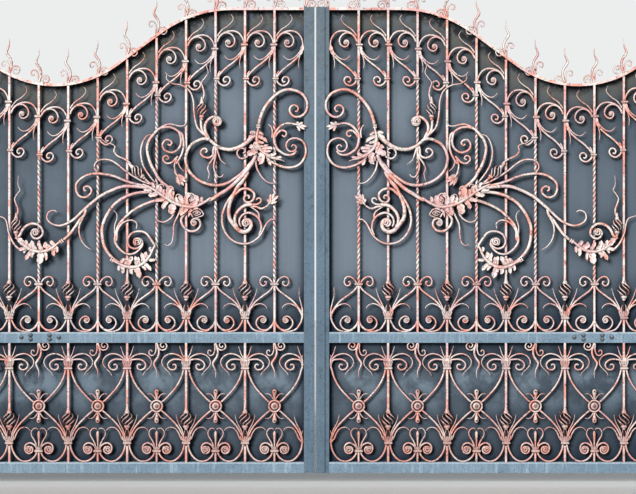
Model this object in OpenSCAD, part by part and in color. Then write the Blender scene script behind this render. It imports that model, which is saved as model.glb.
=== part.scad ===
// Double-leaf driveway gate: tube frame, sheet backing, forged bars, scrolls and a large ornament.
// X runs along the gate, Y into the drive, Z up. The origin is under the middle of the left post.

/* [Leaf frame] */
// Distance from bar to bar
bay = 140; // [120:1:160]
// Bays in one leaf, an even number
bays = 12; // [8:2:14]
// Width of the upright and level frame tubes
tube = 50; // [40:1:60]
// Depth of the frame from front to back
frame_d = 50; // [44:1:60]
// Air between the two meeting stiles
meeting_gap = 20; // [14:1:30]
// Air between a hinge stile and its post
hinge_gap = 30; // [28:1:40]
// Height of the frame's underside over the ground
ground_gap = 55; // [40:1:90]
// Underside of the middle rail over the ground
mid_z = 673; // [640:1:720]
// Thickness of the backing sheet
sheet_t = 2; // [1.5:0.5:4]
// Front face of the backing sheet behind the frame's front
sheet_y = 40; // [38:1:44]

/* [Top line] */
// Underside of the top rail at its crest
crest_z = 2254; // [2200:1:2320]
// Underside of the top rail at its dip
dip_z = 1892; // [1850:1:1950]
// Level run of the top rail beside the meeting stile
crest_run = 340; // [300:1:380]
// Distance from the meeting stile to the dip
dip_run = 1183; // [1150:1:1220]
// Radius of the shoulder
crest_r = 570; // [520:1:580]
// Radius of the dip
dip_r = 500; // [450:1:510]
// Thickness of the top rail's flat bar
rail_t = 12; // [8:1:16]
// Rise of the meeting stiles over the crest
stile_rise = 14; // [12:1:40]

/* [Cover strip] */
// Width of the strip that covers the meeting gap
strip_w = 41; // [36:1:45]
// Thickness of the cover strip
strip_t = 6; // [4:1:8]
// Air between the cover strip and the other leaf's stile
strip_gap = 8; // [7:0.5:10]

/* [Posts and hinges] */
// Width of a square post
post_w = 120; // [100:1:160]
// Height of a post
post_h = 2300; // [2200:1:2500]
// Width of a base plate
base_w = 240; // [220:1:280]
// Thickness of a base plate
base_t = 15; // [12:1:25]
// Spacing of the anchor holes
anchor_pitch = 180; // [170:1:200]
// Diameter of an anchor hole
anchor_d = 18; // [12:1:22]
// Overhang of the post cap
cap_over = 6; // [3:1:15]
// Height of the post cap
cap_h = 30; // [15:1:60]
// Outer diameter of a hinge barrel
barrel_d = 24; // [22:1:25]
// Diameter of a hinge pin
pin_d = 14; // [10:1:16]
// Height of one hinge barrel
barrel_h = 60; // [50:1:80]
// Radial running clearance between pin and barrel
pin_play = 0.05; // [0.01:0.01:0.1]
// Height of the lower hinge over the ground
low_hinge_z = 260; // [200:1:400]
// Height of the upper hinge over the ground
high_hinge_z = 1640; // [1500:1:1700]

/* [Bars and scrolls] */
// Side of the square upright bars
bar = 14; // [12:1:16]
// Width of a scroll bar seen from the front
scroll_w = 11; // [8:1:12]
// Depth of a scroll bar
scroll_d = 10; // [6:1:12]
// Depth of the large ornament's bars
ornament_d = 12; // [8:1:16]
// How far a round boss stands out of the large ornament
boss_rise = 4; // [2:1:6]
// Height of a collar
collar_h = 13; // [10:1:18]
// Width of a collar
collar_w = 38; // [34:1:44]
// Wall of a collar
collar_t = 3; // [2:0.5:4]
// Clearance of pieces that sit beside each other
fit = 0.3; // [0.2:0.1:0.5]
// Drop from the top line to the upper collar of a bay
fern_drop = 165; // [150:1:180]
// Height from the upper to the lower collar of a bay
fern_h = 161; // [150:1:170]

/* [Hidden] */
$fn = 48;
turn_step = 60;
edge_in = meeting_gap / 2 + tube;
edge_out = edge_in + bays * bay;
leaf_end = edge_out + tube;
gate_x = post_w / 2 + hinge_gap + leaf_end;
wall_clear = 2 * collar_t;
mid_top = mid_z + tube;
low_top = ground_gap + tube;
hinge_u = leaf_end + hinge_gap / 2;
hinge_y = frame_d + barrel_d / 2;
crest_u = edge_in + crest_run;
dip_u = edge_in + dip_run;
bar_us = [for (i = [0:bays]) edge_in + i * bay];
steel = "SlateGray";
copper = "RosyBrown";

// The two bends get smaller together where the fall from crest to dip leaves no room for them
arc_du = dip_u - crest_u;
fall = crest_z - dip_z;
bend_share = min(1, (arc_du * arc_du + fall * fall) / (2 * fall * (crest_r + dip_r)));
shoulder_r = bend_share * crest_r;
hollow_r = bend_share * dip_r;
// Slope of the straight stretch that joins the shoulder and the dip
arc_dz = shoulder_r + hollow_r - fall;
slope_a = atan2(arc_du, arc_dz) - acos(min(1, (shoulder_r + hollow_r) / norm([arc_du, arc_dz])));
dip_end = hollow_r * sin(slope_a);
shoulder_start = arc_du - shoulder_r * sin(slope_a);

// Height of the top rail's underside at a distance v from the dip
function wave(v) =
  v < dip_end ? dip_z + hollow_r - sqrt(hollow_r * hollow_r - v * v)
  : v < shoulder_start ? dip_z + hollow_r * (1 - cos(slope_a)) + (v - dip_end) * tan(slope_a)
  : v < arc_du ? crest_z - shoulder_r + sqrt(shoulder_r * shoulder_r - (arc_du - v) * (arc_du - v))
  : crest_z;
function top_line(u) = wave(abs(u - dip_u));
function top_slope(u) = top_line(u + 1) - top_line(u - 1);
function rail_top(u) = top_line(u) + rail_t * norm([1, top_slope(u) / 2]);
// Places along the leaf at which the top line is drawn, with a flat seat over every bar
line_us = concat(
  [edge_in],
  [for (i = [0:bays - 1], k = [0:4]) bar_us[i] + bar / 2 + k * (bay - bar) / 4],
  [edge_out]
);

function mix(a, b, t) = a + (b - a) * t;
function unit(v) = v / max(norm(v), 0.001);
function catmull(a, b, c, d, t) =
  0.5 * (2 * b + (c - a) * t + (2 * a - 5 * b + 4 * c - d) * t * t + (3 * b - a - 3 * c + d) * t * t * t);
// A smooth curve through hand-set points, with n steps between two of them
function curve(p, n = 2) = concat(
  [for (i = [0:len(p) - 2], k = [0:n - 1])
    catmull(p[max(i - 1, 0)], p[i], p[i + 1], p[min(i + 2, len(p) - 1)], k / n)],
  [p[len(p) - 1]]
);
// A spiral about c from radius r0 at angle a0 to radius r1 at angle a1
function coil(c, r0, r1, a0, a1) =
  let (n = ceil(abs(a1 - a0) / turn_step))
  [for (k = [0:n]) c + mix(r0, r1, k / n) * [cos(mix(a0, a1, k / n)), sin(mix(a0, a1, k / n))]];
// The outline of a bar that follows points p and narrows from w0 to w1
function ribbon(p, w0, w1) =
  let (
    n = len(p) - 1,
    side = [for (i = [0:n]) let (d = unit(p[min(i + 1, n)] - p[max(i - 1, 0)])) [-d.y, d.x]]
  )
  concat(
    [for (i = [0:n]) p[i] + side[i] * mix(w0, w1, i / n) / 2],
    [for (i = [n:-1:0]) p[i] - side[i] * mix(w0, w1, i / n) / 2]
  );
module strand(p, w0 = scroll_w, w1 = scroll_w) {
  polygon(ribbon(p, w0, w1));
}
// Draws its children on both sides of a bay's middle
module both_sides() {
  children();
  mirror([1, 0]) children();
}
// Stands a drawing of the leaf upright, with its front face at y
module upright(y, depth) {
  translate([0, y + depth, 0]) rotate([90, 0, 0]) linear_extrude(depth) children();
}
// Joins a drawing's bars into one outline, with small weld fillets
module welded() {
  offset(delta = -1) offset(delta = 1) children();
}
module on_leaf(side) {
  translate([gate_x, -frame_d / 2, 0])
    if (side < 0) mirror([1, 0, 0]) children();
    else children();
}

// Posts, caps, base plates and the hinge pins that the posts carry
module post(side) {
  color(steel) translate([gate_x + side * gate_x - post_w / 2, -post_w / 2, base_t])
    cube([post_w, post_w, post_h - base_t]);
}
module base_plate(side) {
  color(steel) translate([gate_x + side * gate_x, 0, 0]) difference() {
    translate([-base_w / 2, -base_w / 2, 0]) cube([base_w, base_w, base_t]);
    for (x = [-1, 1], y = [-1, 1])
      translate([x * anchor_pitch / 2, y * anchor_pitch / 2, -1]) cylinder(d = anchor_d, h = base_t + 2);
  }
}
module post_cap(side) {
  cap_w = post_w + 2 * cap_over;
  color(steel) translate([gate_x + side * gate_x, 0, post_h])
    polyhedron(
      points = [
        [-cap_w / 2, -cap_w / 2, 0], [cap_w / 2, -cap_w / 2, 0], [cap_w / 2, cap_w / 2, 0],
        [-cap_w / 2, cap_w / 2, 0], [0, 0, cap_h]
      ],
      faces = [[0, 1, 2, 3], [1, 0, 4], [2, 1, 4], [3, 2, 4], [0, 3, 4]]
    );
}
module hinge_pins(side) {
  color(steel) on_leaf(side) for (z = [low_hinge_z, high_hinge_z]) translate([hinge_u, hinge_y, z]) {
    cylinder(d = barrel_d, h = barrel_h);
    cylinder(d = pin_d, h = 2 * barrel_h);
    translate([0, -barrel_d / 4, 0]) cube([hinge_gap / 2, barrel_d / 2, barrel_h]);
  }
}
module hinge_eyes(side) {
  color(steel) on_leaf(side) for (z = [low_hinge_z, high_hinge_z])
    translate([hinge_u, hinge_y, z + barrel_h + fit]) difference() {
      union() {
        cylinder(d = barrel_d, h = barrel_h - fit);
        translate([-hinge_gap / 2 - tube / 2, -barrel_d / 2, 0])
          cube([hinge_gap / 2 + tube / 2, barrel_d / 4, barrel_h - fit]);
      }
      translate([0, 0, -1]) cylinder(d = pin_d + 2 * pin_play, h = barrel_h + 2);
    }
}

// Frame of a leaf
module hinge_stile(side) {
  color(steel) on_leaf(side) translate([edge_out, 0, ground_gap])
    cube([tube, frame_d, rail_top(edge_out) + tube - ground_gap]);
}
module meeting_stile(side) {
  color(steel) on_leaf(side) translate([edge_in - tube, 0, ground_gap])
    cube([tube, frame_d, crest_z + stile_rise - ground_gap]);
}
module level_rail(side, z) {
  color(steel) on_leaf(side) translate([edge_in, 0, z]) cube([edge_out - edge_in, frame_d, tube]);
}
module top_rail(side) {
  n = len(line_us) - 1;
  color(copper) on_leaf(side) upright(0, frame_d) polygon(concat(
    [for (u = line_us) [u, top_line(u)]],
    [for (k = [n:-1:0]) [line_us[k], rail_top(line_us[k])]]
  ));
}
module upper_sheet(side) {
  color(steel) on_leaf(side) upright(sheet_y, sheet_t) polygon(concat(
    [[edge_out, mid_top], [edge_in, mid_top]],
    [for (u = line_us) [u, top_line(u)]]
  ));
}
module lower_sheet(side) {
  color(steel) on_leaf(side) translate([edge_in, sheet_y, low_top])
    cube([edge_out - edge_in, sheet_t, mid_z - low_top]);
}
module cover_strip() {
  color(steel) on_leaf(1)
    translate([strip_gap - meeting_gap / 2, -strip_t, ground_gap])
      cube([strip_w, strip_t, crest_z + stile_rise - ground_gap]);
}

// The rows of scrolls are drawn for one bay width and one panel height and are fitted to the leaf
pitch = 140;
drawn_fern_h = 161;
drawn_panel_h = 568;

// Upright bars. Bars of even number carry baskets, bars of odd number are twisted
basket_r = 30;
basket_h = 58;
upper_basket_z = mid_top + 203;
panel_fit = (mid_z - low_top) / drawn_panel_h;
lower_basket_z = low_top + 204 * panel_fit;
ring_z = low_top + 267 * panel_fit;
crown_collar_z = mid_top + 229;
basket_collar_z = mid_top + 68;
plume_collar_z = low_top + 447 * panel_fit;
panel_collar_z = low_top + 92 * panel_fit;
bud_collar_z = low_top + 54 * panel_fit;
// The side of a bar, or of the stile at either end of the leaf, that faces a bay
function bar_side(i, s) = bar_us[i] + (i == 0 || i == bays ? 0 : s * bar / 2);
function fern_z(i) = top_line(bar_us[i] + bay / 2) - fern_drop;

// Where the collars sit
collar_spots = concat(
  [for (i = [1:bays - 1]) [bar_us[i], fern_z(i)]],
  [for (i = [1:bays - 1]) [bar_us[i], fern_z(i - 1) - fern_h]],
  [for (i = [1:2:bays - 1]) [bar_us[i], crown_collar_z]],
  [for (i = [2:2:bays - 2], z = [basket_collar_z, plume_collar_z, panel_collar_z]) [bar_us[i], z]],
  [for (i = [1:2:bays - 1]) [bar_us[i], bud_collar_z]]
);
// Extrudes a drawing that lies between two uprights, clear of the side walls of the collars
module between(u0, u1, z0, z1) {
  inside = collar_w / 2 - collar_t - fit;
  upright(bar / 2 - scroll_d / 2, scroll_d) welded() difference() {
    intersection() {
      children();
      translate([u0 + fit, z0 + fit]) square([u1 - u0 - 2 * fit, z1 - z0 - 2 * fit]);
    }
    for (c = collar_spots, s = [-1, 1]) if (c.x > u0 - bar && c.x < u1 + bar)
      translate([c.x + s * (inside + wall_clear / 2), c.y])
        square([wall_clear, collar_h + 2 * fit], center = true);
    for (i = [2:2:bays - 2], z = [upper_basket_z, lower_basket_z]) if (z > z0 && z < z1)
      translate([bar_us[i], z]) circle(r = basket_r + fit);
  }
}

module bar_up(u, z0) {
  upright(0, bar) polygon([
    [u - bar / 2, z0], [u + bar / 2, z0],
    [u + bar / 2, top_line(u + bar / 2)], [u - bar / 2, top_line(u - bar / 2)]
  ]);
}
module twisted_bars(side) {
  color(copper) on_leaf(side) for (i = [1:2:bays - 1]) bar_up(bar_us[i], mid_top);
}
// A basket of forged rods with its two neck beads, centred at height zero
module basket() {
  rotate_extrude() polygon(concat(
    [[0, -basket_h / 2 - 18], [7, -basket_h / 2 - 18], [12, -basket_h / 2 - 10], [12, -basket_h / 2]],
    [for (a = [-75:15:75]) [basket_r * cos(a), basket_h / 2 * sin(a) / sin(75)]],
    [[12, basket_h / 2], [12, basket_h / 2 + 8], [7, basket_h / 2 + 20], [0, basket_h / 2 + 20]]
  ));
}
module basket_bars(side) {
  color(copper) on_leaf(side) for (i = [2:2:bays - 2]) union() {
    bar_up(bar_us[i], upper_basket_z + basket_h / 2 + 12);
    translate([bar_us[i], bar / 2, upper_basket_z]) basket();
    translate([bar_us[i] - bar / 2, 0, mid_top])
      cube([bar, bar, upper_basket_z - basket_h / 2 - 12 - mid_top]);
  }
}
module lower_bars(side) {
  color(copper) on_leaf(side) for (i = [2:2:bays - 2]) union() {
    translate([bar_us[i] - bar / 2, 0, lower_basket_z + basket_h / 2 + 12])
      cube([bar, bar, mid_z - lower_basket_z - basket_h / 2 - 12]);
    translate([bar_us[i], bar / 2, lower_basket_z]) basket();
    translate([bar_us[i] - bar / 2, 0, low_top])
      cube([bar, bar, lower_basket_z - basket_h / 2 - 12 - low_top]);
  }
}

// Flame with a curl on either side, used over the top rail and under the middle rail
module flame(left = [-29, 33], right = [29, 47]) {
  strand([[0, -6], [-4, 20], [-11, 49], [-4, 75], [6, 93], [14, 118], [2, 146], [6, 175]], 12, 2);
  strand(concat([[-3, 0], [-7, 20]], coil(left, 15, 7, 20, 380)), 7, 4);
  strand(concat([[3, 0], [7, 28]], coil(right, 18, 9, 190, -50)), 7, 3);
}
module finials(side) {
  color(copper) on_leaf(side) upright(bar / 2 - scroll_d / 2, scroll_d) difference() {
    welded() {
      for (i = [1:bays - 1]) translate([bar_us[i], rail_top(bar_us[i])]) flame();
      translate([edge_in - bar / 2, crest_z + stile_rise]) flame();
      translate([edge_out + tube / 2, rail_top(edge_out) + tube]) flame();
    }
    polygon(concat(
      [[edge_out + tube, 0], [edge_in - tube, 0], [edge_in - tube, crest_z + stile_rise],
        [edge_in, crest_z + stile_rise]],
      [for (u = line_us) [u, rail_top(u)]],
      [[edge_out, rail_top(edge_out) + tube], [edge_out + tube, rail_top(edge_out) + tube]]
    ));
  }
}

// One bay of the top row, from the upper collar on one bar to the lower collar on the next
module fern() {
  strand([
    [11, -4], [12, 10], [16, 30], [30, 51], [53, 63], [78, 64], [102, 58], [120, 44], [pitch - 12, 26]
  ]);
  strand([
    [110, 52], [78, 49], [59, 33], [53, 9], [65, -7], [85, -10], [97, 4], [92, 20], [78, 22], [74, 12]
  ], scroll_w, 8);
  strand([[pitch - 12, 40], [116, 72], [73, 102], [63, 121], [68, 138]], 9, 2);
  strand([[13, -24], [24, -50], [29, -80], [31, -108]], 8, 2);
  strand([[18, -28], [36, -53], [58, -67], [82, -68], [99, -57]], 9, 3);
  strand([
    [12, -2], [18, -28], [36, -58], [103, -113], [123, -135], [pitch - 12, -161], [119, -186],
    [102, -195], [83, -187], [75, -170], [84, -154], [98, -156], [101, -168]
  ], scroll_w, 7);
  polygon([[7, 0], [16, -6], [25, -24], [34, -44], [20, -40], [10, -26]]);
}
module fern_scrolls(side) {
  color(copper) on_leaf(side) for (i = [0:bays - 1])
    between(bar_side(i, 1), bar_side(i + 1, -1), mid_top, crest_z)
      translate([bar_us[i], fern_z(i)]) scale([bay / pitch, fern_h / drawn_fern_h]) fern();
}

// Half of the row over the middle rail, from a twisted bar to the next basket bar
module crown_half() {
  strand([
    [11, -12], [12, 6], [18, 18], [30, 30], [45, 34], [60, 31], [68, 18], [67, 3], [58, -8],
    [46, -6], [39, 4], [44, 12]
  ], scroll_w, 6);
  strand([[11, -4], [23, -32], [85, -79], [118, -120], [pitch - 12, -150]]);
  strand([[pitch - 14, -138], [110, -112], [92, -99], [70, -93], [52, -95], [39, -106], [35, -115]], 9, 3);
  strand([[pitch - 16, -130], [103, -79], [85, -35], [83, -19]], 8, 2);
  strand([
    [pitch - 12, -150], [pitch - 13, -172], [121, -189], [106, -210], [88, -221], [63, -223],
    [38, -218], [20, -203], [8, -184]
  ]);
  strand([
    [30, -211], [48, -218], [70, -213], [85, -195], [86, -177], [77, -161], [61, -152], [47, -157],
    [42, -170], [49, -181], [60, -179]
  ], scroll_w, 8);
  polygon([[pitch, -156], [pitch - 16, -152], [pitch - 23, -136], [pitch - 22, -120], [pitch, -112]]);
}
module crown_scrolls(side) {
  color(copper) on_leaf(side) for (i = [1:2:bays - 1]) {
    between(bar_side(i, 1), bar_side(i + 1, -1), mid_top, crest_z)
      translate([bar_us[i], crown_collar_z]) scale([bay / pitch, 1]) crown_half();
    between(bar_side(i - 1, 1), bar_side(i, -1), mid_top, crest_z)
      translate([bar_us[i], crown_collar_z]) scale([-bay / pitch, 1]) crown_half();
  }
}

// One cell of the lower panel, between two basket bars, measured from its middle and the bottom rail
ring_r = 32;
ring_w = 9;
module cell_half() {
  strand([
    [11, 58], [12, 42], [23, 25], [41, 12], [63, 7], [85, 12], [106, 30], [121, 52],
    [pitch - 13, 77], [pitch - 12, 94]
  ]);
  strand([
    [11, 48], [13, 68], [23, 84], [41, 91], [59, 85], [66, 67], [61, 50], [46, 43], [33, 52],
    [32, 66], [43, 73], [51, 64]
  ], scroll_w, 9);
  strand([[9, 62], [11, 83], [23, 107], [34, 128], [34, 146], [25, 158], [11, 161]], 9, 4);
  strand([[24, 251], [56, 219], [85, 190], [103, 165], [117, 134], [pitch - 13, 107], [pitch - 12, 92]]);
  strand([[pitch - 14, 112], [117, 122], [103, 144], [85, 160], [65, 166], [48, 161], [38, 151]], 9, 3);
  strand([[pitch - 16, 110], [110, 166], [99, 198], [93, 227]], 8, 2);
  polygon([[pitch, 90], [pitch - 16, 98], [pitch - 22, 116], [pitch - 20, 132], [pitch, 128]]);
  strand([[pitch - 12, 450], [pitch - 13, 436], [120, 412], [106, 380], [85, 348], [24, 284]]);
  strand([
    [pitch - 12, 450], [pitch - 15, 474], [116, 493], [98, 509], [70, 515], [42, 504], [26, 482],
    [29, 460], [45, 440], [66, 413]
  ], scroll_w, 3);
  strand([
    [pitch - 14, 460], [117, 479], [99, 489], [80, 489], [62, 482], [53, 467], [56, 450],
    [70, 439], [86, 443], [93, 456], [84, 464]
  ], scroll_w, 7);
  strand([[pitch - 14, 464], [117, 519], [112, 546]], 8, 2);
  polygon([[pitch, 448], [pitch - 17, 456], [pitch - 26, 476], [pitch - 22, 496], [pitch, 500]]);
}
module cell_middle() {
  strand([[0, 0], [0, 60]], 11, 11);
  strand([[0, 55], [0, 138]], 7, 7);
  translate([0, 143]) circle(r = 7, $fn = 12);
}
module panel_scrolls(side) {
  color(copper) on_leaf(side) for (i = [1:2:bays - 1])
    between(bar_side(i - 1, 1), bar_side(i + 1, -1), low_top, mid_z) {
      difference() {
        translate([bar_us[i], low_top]) scale([bay / pitch, panel_fit]) {
          both_sides() cell_half();
          cell_middle();
        }
        translate([bar_us[i], ring_z]) circle(r = ring_r + fit);
      }
      translate([bar_us[i], mid_z]) scale([bay / pitch, -panel_fit]) flame([-35, 20], [26, 42]);
    }
}
// Ring, dome and the two buds in the middle of a cell
module rosette() {
  upright(bar / 2 - scroll_d / 2 - 3, scroll_d + 6) {
    difference() {
      circle(r = ring_r);
      circle(r = ring_r - ring_w);
    }
  }
  upright(bar / 2 - 4, 8) difference() {
    circle(r = ring_r - ring_w + 1);
    circle(r = 10);
  }
  translate([0, bar / 2 - 4, 0]) rotate([90, 0, 0]) cylinder(r1 = 14, r2 = 8, h = 9);
  upright(bar / 2 - 4, 8) for (s = [-1, 1]) scale([1, s]) welded() {
    polygon([[-10, ring_r - 2], [-12, 48], [-7, 66], [0, 80], [7, 66], [12, 48], [10, ring_r - 2]]);
    both_sides() strand([[6, ring_r - 2], [16, 46], [30, 56], [42, 52]], 6, 3);
  }
}
module rosettes(side) {
  color(copper) on_leaf(side) for (i = [1:2:bays - 1]) translate([bar_us[i], 0, ring_z]) rosette();
}

// Collars that wrap a bar and the scroll ends beside it
module collar(u, z) {
  translate([u - collar_w / 2, -collar_t - fit, z - collar_h / 2]) difference() {
    cube([collar_w, bar + 2 * (collar_t + fit), collar_h]);
    translate([collar_t, collar_t, -1]) cube([collar_w - 2 * collar_t, bar + 2 * fit, collar_h + 2]);
  }
}
module collars(side) {
  color(copper) on_leaf(side) for (c = collar_spots) collar(c.x, c.y);
}

// The large ornament. Its points lie on a drawing grid whose x runs out from the meeting edge and
// whose y runs down from a line over the leaf
grid = 0.4847;
grid_u = 3.3;
grid_z = 2111.5;
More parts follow.
